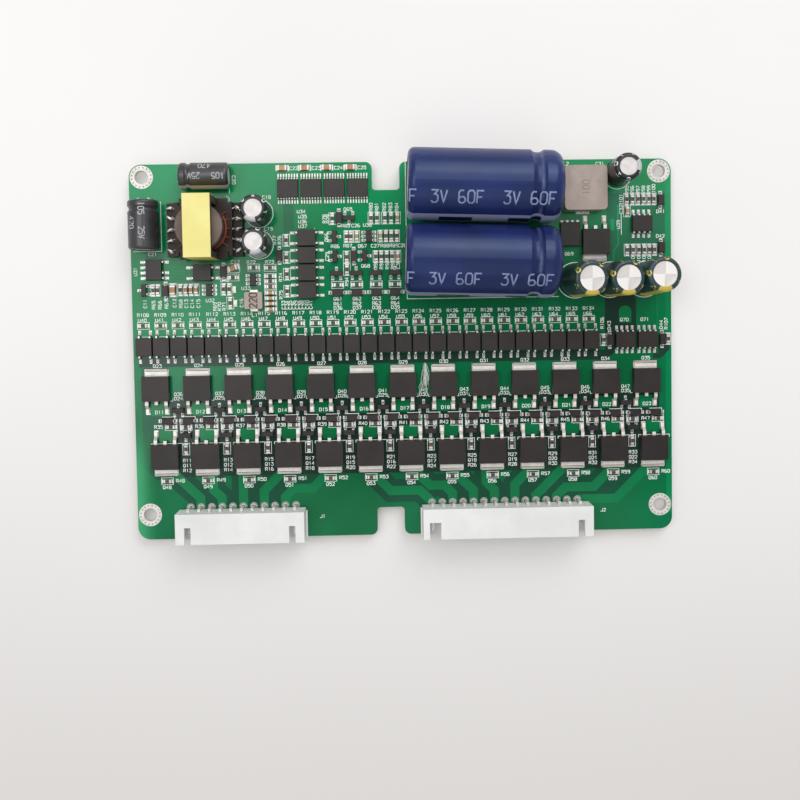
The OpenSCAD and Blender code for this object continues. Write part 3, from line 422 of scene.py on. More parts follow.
PACKAGE = epoxy_finish("moulding_compound", (30, 25, 23), (43, 36, 34))
BOARD = mask_finish("mask_over_laminate", (2, 128, 74), (7, 144, 90))
MASK_ON_COPPER = mask_finish("mask_over_copper", (3, 146, 84), (10, 164, 100))
MASK_BY_TRACKS = mask_finish("mask_by_tracks", (14, 93, 65), (23, 109, 78))
MASK_OVER_LAYERS = mask_finish("mask_over_inner_copper", (8, 106, 68), (16, 122, 82))
MASK_AT_EDGE = mask_finish("mask_over_clear_edge", (2, 138, 82), (8, 152, 96), 0.24)
MASK_IN_GAPS = mask_finish("mask_in_gaps", (34, 68, 54), (44, 83, 67))
TIN = tin_finish("tinned_pins", (212, 210, 206), (240, 238, 234), 0.2, 0.5)
# The last colour of LEAD_TIN, TAB, SOLDER and CHIP_TIN is painted shade for their sloping faces
LEAD_TIN = tin_finish("tinned_leads", (230, 228, 224), (248, 247, 244), 0.2, 0.2, (146, 143, 139))
TAB = tin_finish("tinned_tabs", (226, 222, 214), (244, 240, 232), 0.3, 0.15, (90, 84, 78))
SOLDER = tin_finish("bright_solder", (226, 225, 222), (248, 248, 246), 0.18, 0.25, (178, 176, 173))
CHIP_TIN = tin_finish("chip_ends", (205, 203, 199), (236, 234, 230), 0.3, 0.3, (100, 97, 94))
# Painted shade: dark lines across the transistor tabs
SHADE_LINE = mottled("tab_shade_line", (74, 67, 61), (98, 90, 83), 900, 0.5)
PLATED = tin_finish("plated_rings", (204, 200, 194), (226, 223, 218), 0.42, 0.35)
ALUMINIUM = tin_finish("drawn_aluminium", (203, 199, 196), (219, 216, 213), 0.4, 0.35)
NYLON = mottled("white_nylon", (218, 219, 217), (230, 230, 228), 90, 0.5, 0.4, 0.00002)
RUBBER = mottled("black_rubber", (26, 26, 27), (40, 40, 41), 200, 0.8)
FERRITE = mottled("grey_ferrite", (62, 58, 56), (84, 80, 77), 300, 0.6, 0.4, 0.00003)
POWDER = mottled("pressed_powder", (164, 151, 143), (177, 164, 156), 260, 0.62, 0.3, 0.00004)
WINDING = mottled("winding_tape", (88, 80, 74), (112, 103, 96), 200, 0.45, 0.4, 0.00003)
COPPER = mottled("enamelled_copper", (120, 50, 32), (164, 84, 56), 900, 0.32, 0.5, 0.00001)
MILKY = mottled("milky_resin", (222, 222, 212), (244, 244, 238), 400, 0.3)
PRINT = mottled("white_print", (226, 233, 228), (246, 249, 247), 700, 0.6, 0.3)
FILM = mottled("resistor_film", (58, 44, 41), (86, 69, 64), 900, 0.45)
ALUMINA = mottled("white_alumina", (188, 186, 180), (212, 210, 205), 900, 0.6)
CERAMIC = mottled("tan_ceramic", (160, 116, 80), (192, 148, 108), 700, 0.5)
VIA = mottled("dark_holes", (120, 114, 106), (150, 143, 134), 900, 0.7)
SLEEVE_PRINT = mottled("sleeve_print", (112, 126, 166), (140, 152, 188), 500, 0.5)
GREY_PRINT = mottled("grey_print", (152, 152, 156), (184, 184, 188), 500, 0.5)
GOLD_PRINT = mottled("gold_print", (196, 180, 62), (222, 208, 96), 500, 0.5)
BROWN_PRINT = mottled("brown_print", (62, 48, 42), (84, 68, 60), 500, 0.6)
FAINT_PRINT = mottled("faint_print", (138, 127, 120), (152, 140, 133), 500, 0.6)
FIBRE = mottled("pale_fibre", (196, 206, 196), (226, 232, 224), 500, 0.8, 0.2)
TAPE = tape_finish("yellow_tape")
BOBBIN = bobbin_finish("black_bobbin")


def paint(material, nodes):
    """Gives CAD nodes, named in a line, their finish."""
    for name in nodes.split():
        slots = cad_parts[name].data.materials
        slots.clear()
        slots.append(material)


# Solids of the pieces that are added to the frame

class Piece:
    """Closed solids that make one piece; millimetres from the middle of the board's upper face."""

    def __init__(self):
        self.points = []
        self.faces = []

    def solid(self, points, faces):
        first = len(self.points)
        self.points += [tuple(p) for p in points]
        self.faces += [tuple(first + k for k in face) for face in faces]

    def loft(self, rings, closed=False):
        """A solid through rings of equal counts, capped at its ends unless it closes on itself."""
        n = len(rings[0])
        spans = len(rings) if closed else len(rings) - 1
        faces = [(r * n + k, r * n + (k + 1) % n, (r + 1) % len(rings) * n + (k + 1) % n,
                  (r + 1) % len(rings) * n + k) for r in range(spans) for k in range(n)]
        if not closed:
            faces += [tuple(reversed(range(n))), tuple(range((len(rings) - 1) * n, len(rings) * n))]
        self.solid([p for ring in rings for p in ring], faces)

    def slab(self, outline, low, high, draw_in=0.0):
        """A slab over an outline, given anticlockwise; its upper face may be drawn in."""
        mid = [sum(p[k] for p in outline) / len(outline) for k in (0, 1)]
        half = [max(abs(p[k] - mid[k]) for p in outline) for k in (0, 1)]
        share = [1 - draw_in / h for h in half]
        upper = [[mid[k] + (p[k] - mid[k]) * share[k] for k in (0, 1)] for p in outline]
        self.loft([[(*p, low) for p in outline], [(*p, high) for p in upper]])

    def ribbon(self, path, width, low, high):
        """A band along a path with mitred bends; it closes when the path ends where it starts."""
        closed = path[0] == path[-1]
        spots = [Vector(p) for p in (path[:-1] if closed else path)]
        n = len(spots)
        rings = []
        for k, spot in enumerate(spots):
            ahead = (spots[(k + 1) % n] - spot).normalized() if closed or k < n - 1 else None
            behind = (spot - spots[k - 1]).normalized() if closed or k else ahead
            ahead = ahead or behind
            mean = (ahead + behind).normalized()
            left = Vector((-mean.y, mean.x)) * (width / 2 / max(0.5, mean.dot(ahead)))
            rings.append([(*(spot + left), low), (*(spot - left), low),
                          (*(spot - left), high), (*(spot + left), high)])
        self.loft(rings, closed)

    def ring(self, x, y, inner, outer, low, high, sides=32):
        profile = ((outer, low), (outer, high), (inner, high), (inner, low))
        rings = [[(x + r * math.cos(t), y + r * math.sin(t), z) for r, z in profile] for t in around(sides)]
        self.loft(rings, True)

    def tube(self, path, radius, sides=8):
        """A round wire along a path in space."""
        spots = [Vector(p) for p in path]
        rings = []
        for k, spot in enumerate(spots):
            run = (spots[min(k + 1, len(spots) - 1)] - spots[max(k - 1, 0)]).normalized()
            side = run.orthogonal().normalized() if not rings else (side - run * side.dot(run)).normalized()
            cross = run.cross(side)
            rings.append([spot + radius * (side * math.cos(t) + cross * math.sin(t)) for t in around(sides)])
        self.loft(rings)

    def dome(self, x, y, low, radius, height, stretch=(1, 1), sides=12, levels=4):
        """A blob of solder that stands on a round or oval foot."""
        rings = []
        for level in range(levels):
            tilt = math.pi / 2 * level / (levels - 0.6)
            reach = radius * math.cos(tilt)
            rings.append([(x + reach * stretch[0] * math.cos(t), y + reach * stretch[1] * math.sin(t),
                           low + height * math.sin(tilt)) for t in around(sides)])
        self.loft(rings)

    def add(self, name, material, slot, *replaced, smooth=False, bend=None):
        """Makes the piece; bend moves its points last, in millimetres."""
        mesh = bpy.data.meshes.new(name)
        points = [bend(*p) for p in self.points] if bend else self.points
        mesh.from_pydata([in_frame(*p) for p in points], [], self.faces)
        mesh.materials.append(material)
        mesh.polygons.foreach_set("use_smooth", [smooth] * len(self.faces))
        made = add_object(name, mesh)
        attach(made, "root")
        if replaced:
            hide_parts(*replaced)


def rect(low_x, low_y, high_x, high_y):
    return [(low_x, low_y), (high_x, low_y), (high_x, high_y), (low_x, high_y)]


ARC_STEPS = 5


def rounded(low_x, low_y, high_x, high_y, radius, corners=(1, 1, 1, 1)):
    """A rectangle with chosen corners rounded, from the lower left one anticlockwise."""
    outline = []
    inward = ((1, 1), (-1, 1), (-1, -1), (1, -1))
    for k, ((x, y), (sx, sy)) in enumerate(zip(rect(low_x, low_y, high_x, high_y), inward)):
        if not corners[k]:
            outline.append((x, y))
            continue
        for step in range(ARC_STEPS + 1):
            turn = math.pi * (1 + (k + step / ARC_STEPS) / 2)
            outline.append((x + radius * (sx + math.cos(turn)), y + radius * (sy + math.sin(turn))))
    return outline


# Strokes of the letters, as points on a grid four wide and six high
STROKES = {
    "0": "01 05 16 36 45 41 30 10 01", "1": "15 26 20", "2": "05 16 36 45 44 00 40",
    "3": "06 46 24 34 43 41 30 10 01", "4": "42 02 36 30", "5": "46 06 04 34 43 41 30 10 01",
    "6": "36 16 05 01 10 30 41 42 33 13 02", "7": "06 46 45 10",
    "8": "13 04 05 16 36 45 44 33 13 02 01 10 30 41 42 33", "9": "10 30 41 45 36 16 05 04 13 33 44",
    "C": "45 36 16 05 01 10 30 41", "D": "00 06 26 45 41 20 00", "F": "00 06 46/03 33",
    "J": "46 41 30 10 01", "L": "06 00 40", "Q": "01 05 16 36 45 41 30 10 01/22 40",
    "R": "00 06 36 45 44 33 03/23 40", "U": "06 01 10 30 41 46", "V": "06 20 46", " ": "",
}
LETTER_GAP = 1.6


def letters(text, x, y, height, turn, slim):
    """Paths of a line of text about its middle."""
    unit = height / 6
    step = 4 + LETTER_GAP
    width = len(text) * step - LETTER_GAP
    swing = Matrix.Rotation(math.radians(turn), 2)
    for n, letter in enumerate(text):
        for stroke in filter(None, STROKES[letter].split("/")):
            yield [tuple(swing @ Vector(((int(s[0]) + n * step - width / 2) * unit * slim,
                                         (int(s[1]) - 3) * unit)) + Vector((x, y))) for s in stroke.split()]


def solids_of(node):
    """Corner points of each separate solid in a CAD node, in board millimetres."""
    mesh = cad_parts[node].data
    places = np.empty(len(mesh.vertices) * 3)
    mesh.vertices.foreach_get("co", places)
    places = places.reshape(-1, 3) / MM - np.array(CENTRE)
    _, same = np.unique(places.round(3), axis=0, return_inverse=True)
    ends = np.empty(len(mesh.edges) * 2, dtype=np.int64)
    mesh.edges.foreach_get("vertices", ends)
    ends = same.reshape(-1)[ends].reshape(-1, 2)
    group = np.arange(same.max() + 1)
    while True:
        lower = np.minimum(group[ends[:, 0]], group[ends[:, 1]])
        after = group.copy()
        np.minimum.at(after, ends[:, 0], lower)
        np.minimum.at(after, ends[:, 1], lower)
        if (after == group).all():
            break
        group = after
    owner = group[same.reshape(-1)]
    return [places[owner == g] for g in np.unique(owner)]


def middle_of(solid):
    return (solid.min(0) + solid.max(0)) / 2


# Copper, gaps, lands and print on the board's face: how deep their feet sink and how high their tops stand

SINK = -0.02
EDGE_H = 0.008
TRACK_GAP_H = 0.01
GAP_H = 0.012
COPPER_H = 0.025
PRINT_H = 0.04
LAND_H = 0.055

FET_COUNT = 13
FET_X = -59.6
FET_STEP = 9.842
STAGGER = 1.8
OPTO_COUNT = 27
OPTO_X = -62.1
OPTO_STEP = 4.127
TRACK_W = 2.2
TRACK_GAP = 5.6
upper_x = [FET_X + FET_STEP * i for i in range(FET_COUNT)]
lower_x = [x + STAGGER for x in upper_x]
opto_x = [OPTO_X + OPTO_STEP * k for k in range(OPTO_COUNT)]

# From the tab of each lower transistor to its header pin
TAB_TRACKS = [
    [(-55.6, -29.6), (-49.8, -35.2), (-49.8, -37.4)],
    [(-46.7, -29.6), (-46.7, -33.2), (-44.7, -35.1), (-44.7, -37.4)],
    [(-39.5, -29.6), (-39.5, -37.4)],
    [(-30.4, -29.6), (-34.5, -33.7), (-34.5, -37.4)],
    [(-19.2, -29.6), (-22.6, -33.3), (-27.4, -33.3), (-29.4, -35.4), (-29.4, -37.4)],
    [(-8.4, -29.6), (-3.8, -34.3), (3.2, -34.3), (6.1, -37.2)],
    [(2, -29.6), (5.8, -33.2), (9.2, -33.2), (11.2, -35.2), (11.2, -37.4)],
    [(11.2, -29.6), (16.3, -34.6), (16.3, -37.4)],
    [(19.4, -29.6), (19.4, -32.6), (21.4, -34.6), (21.4, -37.4)],
    [(30.2, -29.6), (26.4, -33.4), (26.4, -37.4)],
    [(38.2, -29.6), (31.5, -36.2), (31.5, -37.4)],
    [(50.4, -29.6), (45.8, -34.3), (38.8, -34.3), (36.6, -36.4), (36.6, -37.4)],
    [(59, -29.6), (51.2, -37.3), (41.7, -37.3)],
]

# The last track of each header has bare mask on its inner side only
INNER_GAP = 3.6
INNER_SIDES = {
    4: [(-20.9, -29.6), (-23.3, -32.1), (-27.9, -32.1), (-30.6, -34.9), (-30.6, -37.4)],
    12: [(56.4, -29.6), (49.6, -36.3), (41.7, -36.3)],
}
# Each gap lies a hair lower than the one before, so that crossing gaps share no face
GAP_STEP = 0.0002

CUT_AWAY = [
    rect(-56.6, -29.9, 62, -10.9),
    [(-63.8, -3.3), (49.2, -3.3), (51, -1.6), (51, -0.9), (-63.8, -0.9)],
    [(60.4, -3.2), (62.2, -3.25), (63.1, -2.6), (64.6, -1), (64.6, 0.4), (60.4, 0.4)],
    rounded(48.8, -0.9, 56.4, 12.4, 1.4, (0, 0, 1, 1)),
]
INNER_COPPER = [
    rect(49.4, 20, 63.5, 36.8),
    rect(-28.5, 28.4, -26, 35.6),
    rect(-61.5, 21.6, -57, 24.6),
    [(-63.3, -3.4), (-63.3, -27.4), (-60.2, -30.6), (-56.7, -30.6), (-56.7, -3.4)],
]
CLEAR_EDGE = [rect(63.6, -41, 64.97, 41)]


def lay_gaps():
    """Mask of other greens: where copper is cut away, over inner copper, at the clear edge and by tracks."""
    for name, material, outlines, top in (("mask_gaps", MASK_IN_GAPS, CUT_AWAY, GAP_H),
                                          ("mask_block", MASK_OVER_LAYERS, INNER_COPPER, GAP_H),
                                          ("clear_edges", MASK_AT_EDGE, CLEAR_EDGE, EDGE_H)):
        layer = Piece()
        for outline in outlines:
            layer.slab(outline, SINK, top)
        layer.add(name, material, "board_laminate")
    beside = Piece()
    for number, path in enumerate(TAB_TRACKS):
        width = INNER_GAP if number in INNER_SIDES else TRACK_GAP
        beside.ribbon(INNER_SIDES.get(number, path), width, SINK, TRACK_GAP_H - GAP_STEP * number)
    beside.add("track_gaps", MASK_BY_TRACKS, "board_laminate")


# Patches of copper under the leads of each transistor row: half width, lower and upper edge
LEAD_PATCHES = ((upper_x, 1.75, -15.1, -12.1), (lower_x, 1.7, -21.4, -18.3))
PATCH_R = 0.8
# Thin signal tracks with their widths
SIGNALS = [([(52.1, 34), (52.1, 24.4), (51, 23), (51, 20.2)], 0.3), ([(61.6, -2), (61.6, 12.5)], 0.25)]
SIGNALS += [([(-56, y), (-53.5, y), (-52.6, y - 0.4), (-51, y - 0.4)], 0.2) for y in (19.1, 19.85, 20.6)]


def lay_tracks():
    """Copper seen through the mask: tab tracks, lead patches and thin signal tracks."""
    tracks = Piece()
    for path in TAB_TRACKS:
        tracks.ribbon(path, TRACK_W, SINK, COPPER_H)
    for row, half, low, high in LEAD_PATCHES:
        for x in row:
            tracks.slab(rounded(x - half, low, x + half, high, PATCH_R, (1, 1, 0, 0)), SINK, COPPER_H)
    tracks.slab(rounded(52.2, 5.6, 55.2, 9.7, 1.4, (0, 0, 1, 1)), SINK, COPPER_H)
    tracks.slab(rounded(50.3, 27.9, 51.2, 30.7, 0.4), SINK, COPPER_H)
    for path, width in SIGNALS:
        tracks.ribbon(path, width, SINK, COPPER_H)
    tracks.add("copper_tracks", MASK_ON_COPPER, "board_laminate")


def chips():
    """Each chip as its middle, turn, length, width and height, from the solids of its body and ends."""
    ends = solids_of("chip_ends")
    middles = np.array([middle_of(s) for s in ends])
    found = []
    for body in solids_of("chip_bodies"):
        middle = middle_of(body)
        near = np.argsort(((middles - middle) ** 2)[:, :2].sum(1))[:2]
        run = middles[near[1]] - middles[near[0]]
        turn = round(math.degrees(math.atan2(run[1], run[0]))) % 180
        along = np.array((math.cos(math.radians(turn)), math.sin(math.radians(turn))))
        metal = np.concatenate([ends[k] for k in near])
        length = np.ptp(metal[:, :2] @ along)
        width = np.ptp(metal[:, :2] @ (-along[1], along[0]))
        found.append((float(middle[0]), float(middle[1]), turn, float(length), float(width),
                      float(metal[:, 2].max())))
    return found


def turned(x, y, turn, along, across, shift=0.0):
    """A rectangle on a chip's own axis, moved along it from the chip's middle."""
    swing = Matrix.Rotation(math.radians(turn), 2)
    corners = [(shift + i * along / 2, j * across / 2) for i, j in ((-1, -1), (1, -1), (1, 1), (-1, 1))]
    return [(x + spot.x, y + spot.y) for spot in (swing @ Vector(corner) for corner in corners)]


CHIPS = chips()
LEAD_NODES = ("optocoupler_leads", "isolator_leads", "logic_leads", "small_outline_leads",
              "small_transistor_leads", "diode_leads", "flat_transistor_leads", "upper_transistor_frames",
              "lower_transistor_frames", "switch_transistor_frame", "power_inductor_terminals",
              "small_inductor_terminals")
FINE_LEADS = "logic_leads"
FOOT_H = 0.3
EDGE_X = 64.85
# A lead whose foot lies off its middle by more than this has a toe and a heel
LEAN = 0.05
# How far a land reaches past a foot
LAND_SIDE = 0.14
FINE_SIDE = 0.05
LAND_TOE = 0.38
LAND_HEEL = 0.2
FRAME_REACH = (0.2, 0.3)
FILLET_SIDE = 0.06
FILLET_END = 0.12
FILLET_TOP = 0.24
# Solder starts a little below the top of its land
SOLDER_LOW = LAND_H - 0.02
CHIP_LAND = (0.95, 0.15, 0.16)
CHIP_RISE = (0.4, 0.9, 0.02)


def on_board(points):
    """Points held back from the board's right edge."""
    return [(min(p[0], EDGE_X), p[1]) for p in points]


def lay_lands():
    """Tinned lands under every lead and chip end, with solder run up to the metal."""
    lands, fillets, chip_lands = Piece(), Piece(), Piece()
    for node in LEAD_NODES:
        side = FINE_SIDE if node == FINE_LEADS else LAND_SIDE
        for solid in solids_of(node):
            foot = solid[solid[:, 2] < FOOT_H]
            if not len(foot):
                continue
            low, high = foot.min(0), foot.max(0)
            lean = ((low + high) - (solid.min(0) + solid.max(0)))[:2]
            leans = abs(lean).max() > LEAN
            grow_low = np.array([side, side])
            grow_high = np.array([side, side])
            if leans:
                axis = int(abs(lean[1]) > abs(lean[0]))
                toe, heel = (grow_high, grow_low) if lean[axis] > 0 else (grow_low, grow_high)
                toe[axis] = LAND_TOE
                heel[axis] = LAND_HEEL
            elif "frame" in node:
                grow_low = grow_high = np.array(FRAME_REACH)
            lands.slab(rect(*(low[:2] - grow_low), *(high[:2] + grow_high)), SINK, LAND_H, 0.03)
            if leans and node != FINE_LEADS:
                reach = np.array([FILLET_SIDE, FILLET_SIDE])
                reach[axis] += FILLET_END
                foot_print = rect(*(low[:2] - reach), *(high[:2] + reach))
                fillets.slab(foot_print, SOLDER_LOW, min(high[2], FILLET_TOP), 0.1)
    for x, y, turn, length, width, height in CHIPS:
        for end in (-1, 1):
            along, wider, out = CHIP_LAND
            land = turned(x, y, turn, along, width + wider, end * (length / 2 + out))
            chip_lands.slab(on_board(land), SINK, LAND_H, 0.04)
            along, share, out = CHIP_RISE
            rise = turned(x, y, turn, along, width * share, end * (length / 2 + out))
            chip_lands.slab(rise, SOLDER_LOW, height * 0.75, 0.12)
    lands.add("solder_lands", SOLDER, "plated_pads")
    chip_lands.add("chip_solder", CHIP_TIN, "solder")
    fillets.add("solder_fillets", SOLDER, "solder")


TABS = (("upper_transistor_frames", 1), ("lower_transistor_frames", -1), ("switch_transistor_frame", -1))
LEAST_TAB_W = 4
# Solder at a tab's edge: from, to and past its ends; painted shade lines: how far in and how wide
TAB_SOLDER = (-0.04, 0.42, 0.12)
TAB_SHADE_LINES = ((0.24, 0.17), (1.2, 0.06))


def dress_tabs():
    """Solder along the outer edge of each transistor tab, and dark lines of painted shade across it, near
    that edge and where it steps up to its body.
    """
    solder, creases = Piece(), Piece()
    inner, outer, past = TAB_SOLDER
    for node, side in TABS:
        for solid in solids_of(node):
            low, high = solid.min(0), solid.max(0)
            if high[0] - low[0] < LEAST_TAB_W:
                continue
            edge = high[1] if side > 0 else low[1]
            near, far = sorted((edge + side * inner, edge + side * outer))
            solder.slab(rect(low[0] - past, near, high[0] + past, far), SOLDER_LOW, high[2] - 0.1, 0.16)
            # Painted shade lines across the tab
            for inset, width in TAB_SHADE_LINES:
                y = edge - side * inset
                path = [(low[0] + 0.05, y), (high[0] - 0.05, y)]
                creases.ribbon(path, width, high[2] - 0.02, high[2] + 0.008)
    solder.add("tab_solder", TAB, "solder")
    creases.add("tab_creases", SHADE_LINE, "tinned_metal")


LINE_W = 0.15
CHIP_LINE_W = 0.1
TOP_ROW = 39
BOX_SIDE = 0.42
BOX_ENDS = 1.25


def chip_boxes(layer):
    """A printed box round each chip below the top row; boxes of close neighbours share their sides."""
    for x, y, turn, length, width, _ in CHIPS:
        if y > TOP_ROW:
            continue
        turn = 90 * round(turn / 90)
        swing = Matrix.Rotation(math.radians(-turn), 2)
        half = width / 2 + BOX_SIDE
        for other in CHIPS:
            gap = swing @ Vector((other[0] - x, other[1] - y))
            if abs(gap.x) < length * 0.8 and 0.3 < abs(gap.y) < 2 * half:
                half = abs(gap.y) / 2
        outline = on_board(turned(x, y, turn, length + BOX_ENDS, 2 * half))
        layer.ribbon(outline + outline[:1], CHIP_LINE_W, SINK, PRINT_H)


def row_lines(layer):
    """Printed outlines of the transistor, diode and optocoupler rows."""
    def line(*path):
        layer.ribbon(list(path), LINE_W, SINK, PRINT_H)

    for x in upper_x:
        line((x - 3.6, -10.9), (x - 3.6, -11.5), (x + 3.7, -11.5), (x + 3.7, -10.9))
    for x in lower_x:
        line((x - 3.5, -22.4), (x - 3.5, -21.8), (x + 4.1, -21.8), (x + 4.1, -22.4))
    for k in range(2 * FET_COUNT - 1):
        x = FET_X + 2.4 + k * FET_STEP / 2
        line((x - 1.4, -15.35), (x + 1.6, -15.35), (x + 1.6, -15.9))
    for x in opto_x:
        line((x - 0.85, 3.98), (x + 0.85, 3.98))
    line((0.9, 29.2), (0.9, 12.15), (37.6, 12.15))
    line((0.9, 29.6), (0.9, 46), (1.4, 46.5))
    line((-57.6, 36.2), (-57.6, 24.4), (-64.3, 24.4))
    line((-41.2, 38), (-41.2, 44.6))
    line((-41.3, 35.4), (-41.3, 36.8), (-42, 37.4))
    line((-21.1, 13), (-21.1, 29.4))
    line((52.9, 26.8), (52.9, 31.9))


def circles(layer):
    for x in (41.6, 50, 58.4):
        layer.ring(x, 16, 4.2, 4.4, SINK, PRINT_H, 48)
    for x, y in ((-34.3, 33.1), (-34.4, 25.6), (51.95, 41.2)):
        layer.ring(x, y, 3.3, 3.48, SINK, PRINT_H, 40)


# Loose designators: kind, x, y, turn
NOTES = [
    ("U", -64, 19.6, 90), ("C", -61.9, 11.9, 90), ("R", -59.9, 11.6, 90), ("R", -58.4, 11.6, 90),
    ("R", -56.8, 11.7, 90), ("C", -54.9, 12, 90), ("R", -53.4, 11.8, 90), ("C", -52.1, 11.8, 90),
    ("C", -50.7, 11.8, 90), ("C", -49.2, 11.8, 90), ("U", -46.4, 12.5, 0), ("R", -45.3, 11, 90),
    ("R", -44.2, 11, 90), ("R", -43.1, 11.1, 90), ("C", -38.9, 11.8, 90), ("C", -40.2, 21.6, 0),
    ("D", -42.8, 17.3, 0), ("R", -36.4, 21.5, 0), ("R", -32, 21.5, 0), ("U", -37.8, 15.3, 0),
    ("R", -29.4, 17.8, 90), ("R", -29.4, 13.6, 90), ("R", -29.5, 26.7, 90), ("R", -30.7, 26.7, 90),
    ("U", -24.2, 33.4, 0), ("U", -23.9, 32.2, 0), ("U", -23.9, 31, 0), ("U", -23.9, 29.9, 0),
    ("C", -32.4, 36.9, 0), ("C", -32.1, 29.4, 0), ("L", -35.8, 8.8, 0), ("C", -40.1, 41.1, -90),
    ("C", -59.8, 23.7, 0), ("C", -25.8, 43.7, 0), ("C", -20.4, 43.7, 0), ("C", -15.1, 43.7, 0),
    ("C", -9.5, 43.7, 0), ("Q", -13, 33.8, 0), ("R", -18.7, 31.6, 90), ("R", -17.8, 31.6, 90),
    ("R", -7.5, 34.2, 90), ("R", -6.1, 34.2, 90), ("R", -4.3, 34.2, 90), ("R", -2.8, 34.2, 90),
    ("R", -1.3, 34.2, 90), ("R", -13.6, 29.9, 0), ("C", -11.2, 29.9, 0), ("U", -8.4, 30, 0),
    ("Q", -18.3, 27.2, 90), ("R", -16.2, 25, 0), ("R", -13.2, 25.1, 0), ("Q", -9.7, 25, 0),
    ("C", -6.6, 25, 0), ("R", -4.3, 25, 0), ("R", -2.1, 25, 0), ("C", -0.1, 25, 0),
    ("C", -18.2, 22.6, 90), ("Q", -9, 20.2, 0), ("R", -6.6, 20.4, 90), ("R", -5.2, 20.4, 90),
    ("R", -3.8, 20.4, 90), ("R", -2.5, 20.4, 90), ("C", -1.2, 20.4, 90), ("R", -13.6, 16.5, 90),
    ("Q", 40.2, 22.4, 0), ("C", 47.8, 43.9, 0), ("L", 39.6, 44, 0), ("U", 52.2, 29.3, 90),
    ("R", 54.3, 37.5, 90), ("R", 55.6, 37.5, 90), ("R", 57, 37.5, 90), ("R", 58.3, 37.5, 90),
    ("R", 59.6, 37.5, 90), ("R", 60.8, 37.5, 90), ("R", 52.9, 35.2, 90), ("C", 52.9, 32.9, 90),
    ("D", 62.5, 32.3, 0), ("D", 62.4, 26.4, 0), ("R", 55.7, 20.9, 90), ("R", 57.1, 20.9, 90),
    ("R", 58.4, 20.9, 90), ("R", 59.7, 20.9, 90), ("Q", 53.5, 6.3, 0), ("Q", 58.5, 6.3, 0),
    ("R", 48.1, 5.6, 90), ("D", 49.8, 5, 90), ("D", 62.5, 5, 90), ("R", 63.7, 5.2, 90),
    ("J", -20.5, -40.2, 0), ("J", 48, -40.1, 0),
]
LETTER_H = 0.74
LETTER_W = 0.14
LETTER_SLIM = 1.04
numbers = {"R": 10, "C": 10, "D": 10, "Q": 10, "U": 30, "L": 0, "J": 0}


def designator(kind):
    """The next number of a kind of part."""
    numbers[kind] += 1
    return f"{kind}{numbers[kind]}"


# Designators that repeat along the rows: kind, shift along the row, y
ROW_NOTES = (
    (lower_x[:-1], (("R", 5, -26), ("Q", 5, -27.2), ("R", 5, -28.4))),
    (upper_x, (("Q", 0.2, -3.05), ("D", 0.45, -14.2), ("R", 0.1, -17.75))),
    (upper_x[:-1], (("Q", 5.05, -9.9), ("D", 5.05, -10.95))),
    (lower_x, (("R", 3.2, -30.85), ("Q", 0, -32.4))),
    ((-15.8, -11.2, -6.5, -2), (("Q", 0, 12.4), ("R", 0, 11.2), ("D", 0, 10.2))),
)
OPTO_NOTES = ((opto_x, (("R", -0.4, 9.2), ("U", -0.6, 7.95))),)
# Upright designators that run into each other under the isolators
CROWDED_NOTES = [("C", -28.9 + 0.82 * k, 11.1, 90) for k in range(9)]


def along_rows(rows):
    for row, notes in rows:
        for x in row:
            for kind, shift, y in notes:
                yield kind, x + shift, y, 0


def lay_print():
    outlines = Piece()
    chip_boxes(outlines)
    row_lines(outlines)
    circles(outlines)
    outlines.add("printed_outlines", PRINT, "board_laminate")
    notes = Piece()
    for kind, x, y, turn in [*along_rows(ROW_NOTES), *NOTES, *CROWDED_NOTES, *along_rows(OPTO_NOTES)]:
        for path in letters(designator(kind), x, y, LETTER_H, turn, LETTER_SLIM):
            notes.ribbon(path, LETTER_W, SINK, PRINT_H)
    notes.add("printed_designators", PRINT, "board_laminate")


VIA_COUNT = 16
VIA_RING_R = 2.3
VIA_R = 0.17


def lay_ring_vias():
    """Small stitched holes round each mounting ring."""
    vias = Piece()
    for solid in solids_of("mounting_rings"):
        top = solid[:, 2].max()
        mid_x, mid_y, _ = middle_of(solid)
        for k in range(VIA_COUNT):
            turn = 2 * math.pi * (k + 0.5) / VIA_COUNT
            x = mid_x + VIA_RING_R * math.cos(turn)
            y = mid_y + VIA_RING_R * math.sin(turn)
            outline = [(x + VIA_R * math.cos(t), y + VIA_R * math.sin(t)) for t in around(10)]
            vias.slab(outline, top - 0.02, top + 0.01)
    vias.add("ring_vias", VIA, "plated_pads")


lay_gaps()
lay_tracks()
lay_lands()
dress_tabs()
lay_print()
lay_ring_vias()


# Finishes and added pieces of the parts

FINE_STEP = 0.6


def fine(path):
    """The same path with points near enough together to be bent."""
    spots = [path[0]]
    for start, end in zip(path, path[1:]):
        count = max(1, math.ceil(math.dist(start, end) / FINE_STEP))
        spots += [tuple(a + (b - a) * k / count for a, b in zip(start, end)) for k in range(1, count + 1)]
    return spots


class Can(SimpleNamespace):
    """Where a can lies: its middle in metres, its axis and the way its stripe faces; sizes in millimetres."""


def round_can(middle, axis, out, radius):
    """Bends a flat drawing round a can: along its axis, then across from the line that faces out."""
    cross = out.cross(axis)

    def bend(along, across, lift):
        tilt = across / radius
        reach = radius + lift
        spot = axis * along + (out * math.cos(tilt) + cross * math.sin(tilt)) * reach
        return tuple(spot + middle / MM - CENTRE)
    return bend


def print_on_can(name, material, slot, bend, words, height, weight, slim):
    """Words drawn on a can, each as text, place along, place across and turn."""
    drawn = Piece()
    for text, along, across, turn in words:
        for path in letters(text, along, across, height, turn, slim):
            drawn.ribbon(fine(path), weight, -0.06, 0.02)
    drawn.add(name, material, slot, bend=bend)


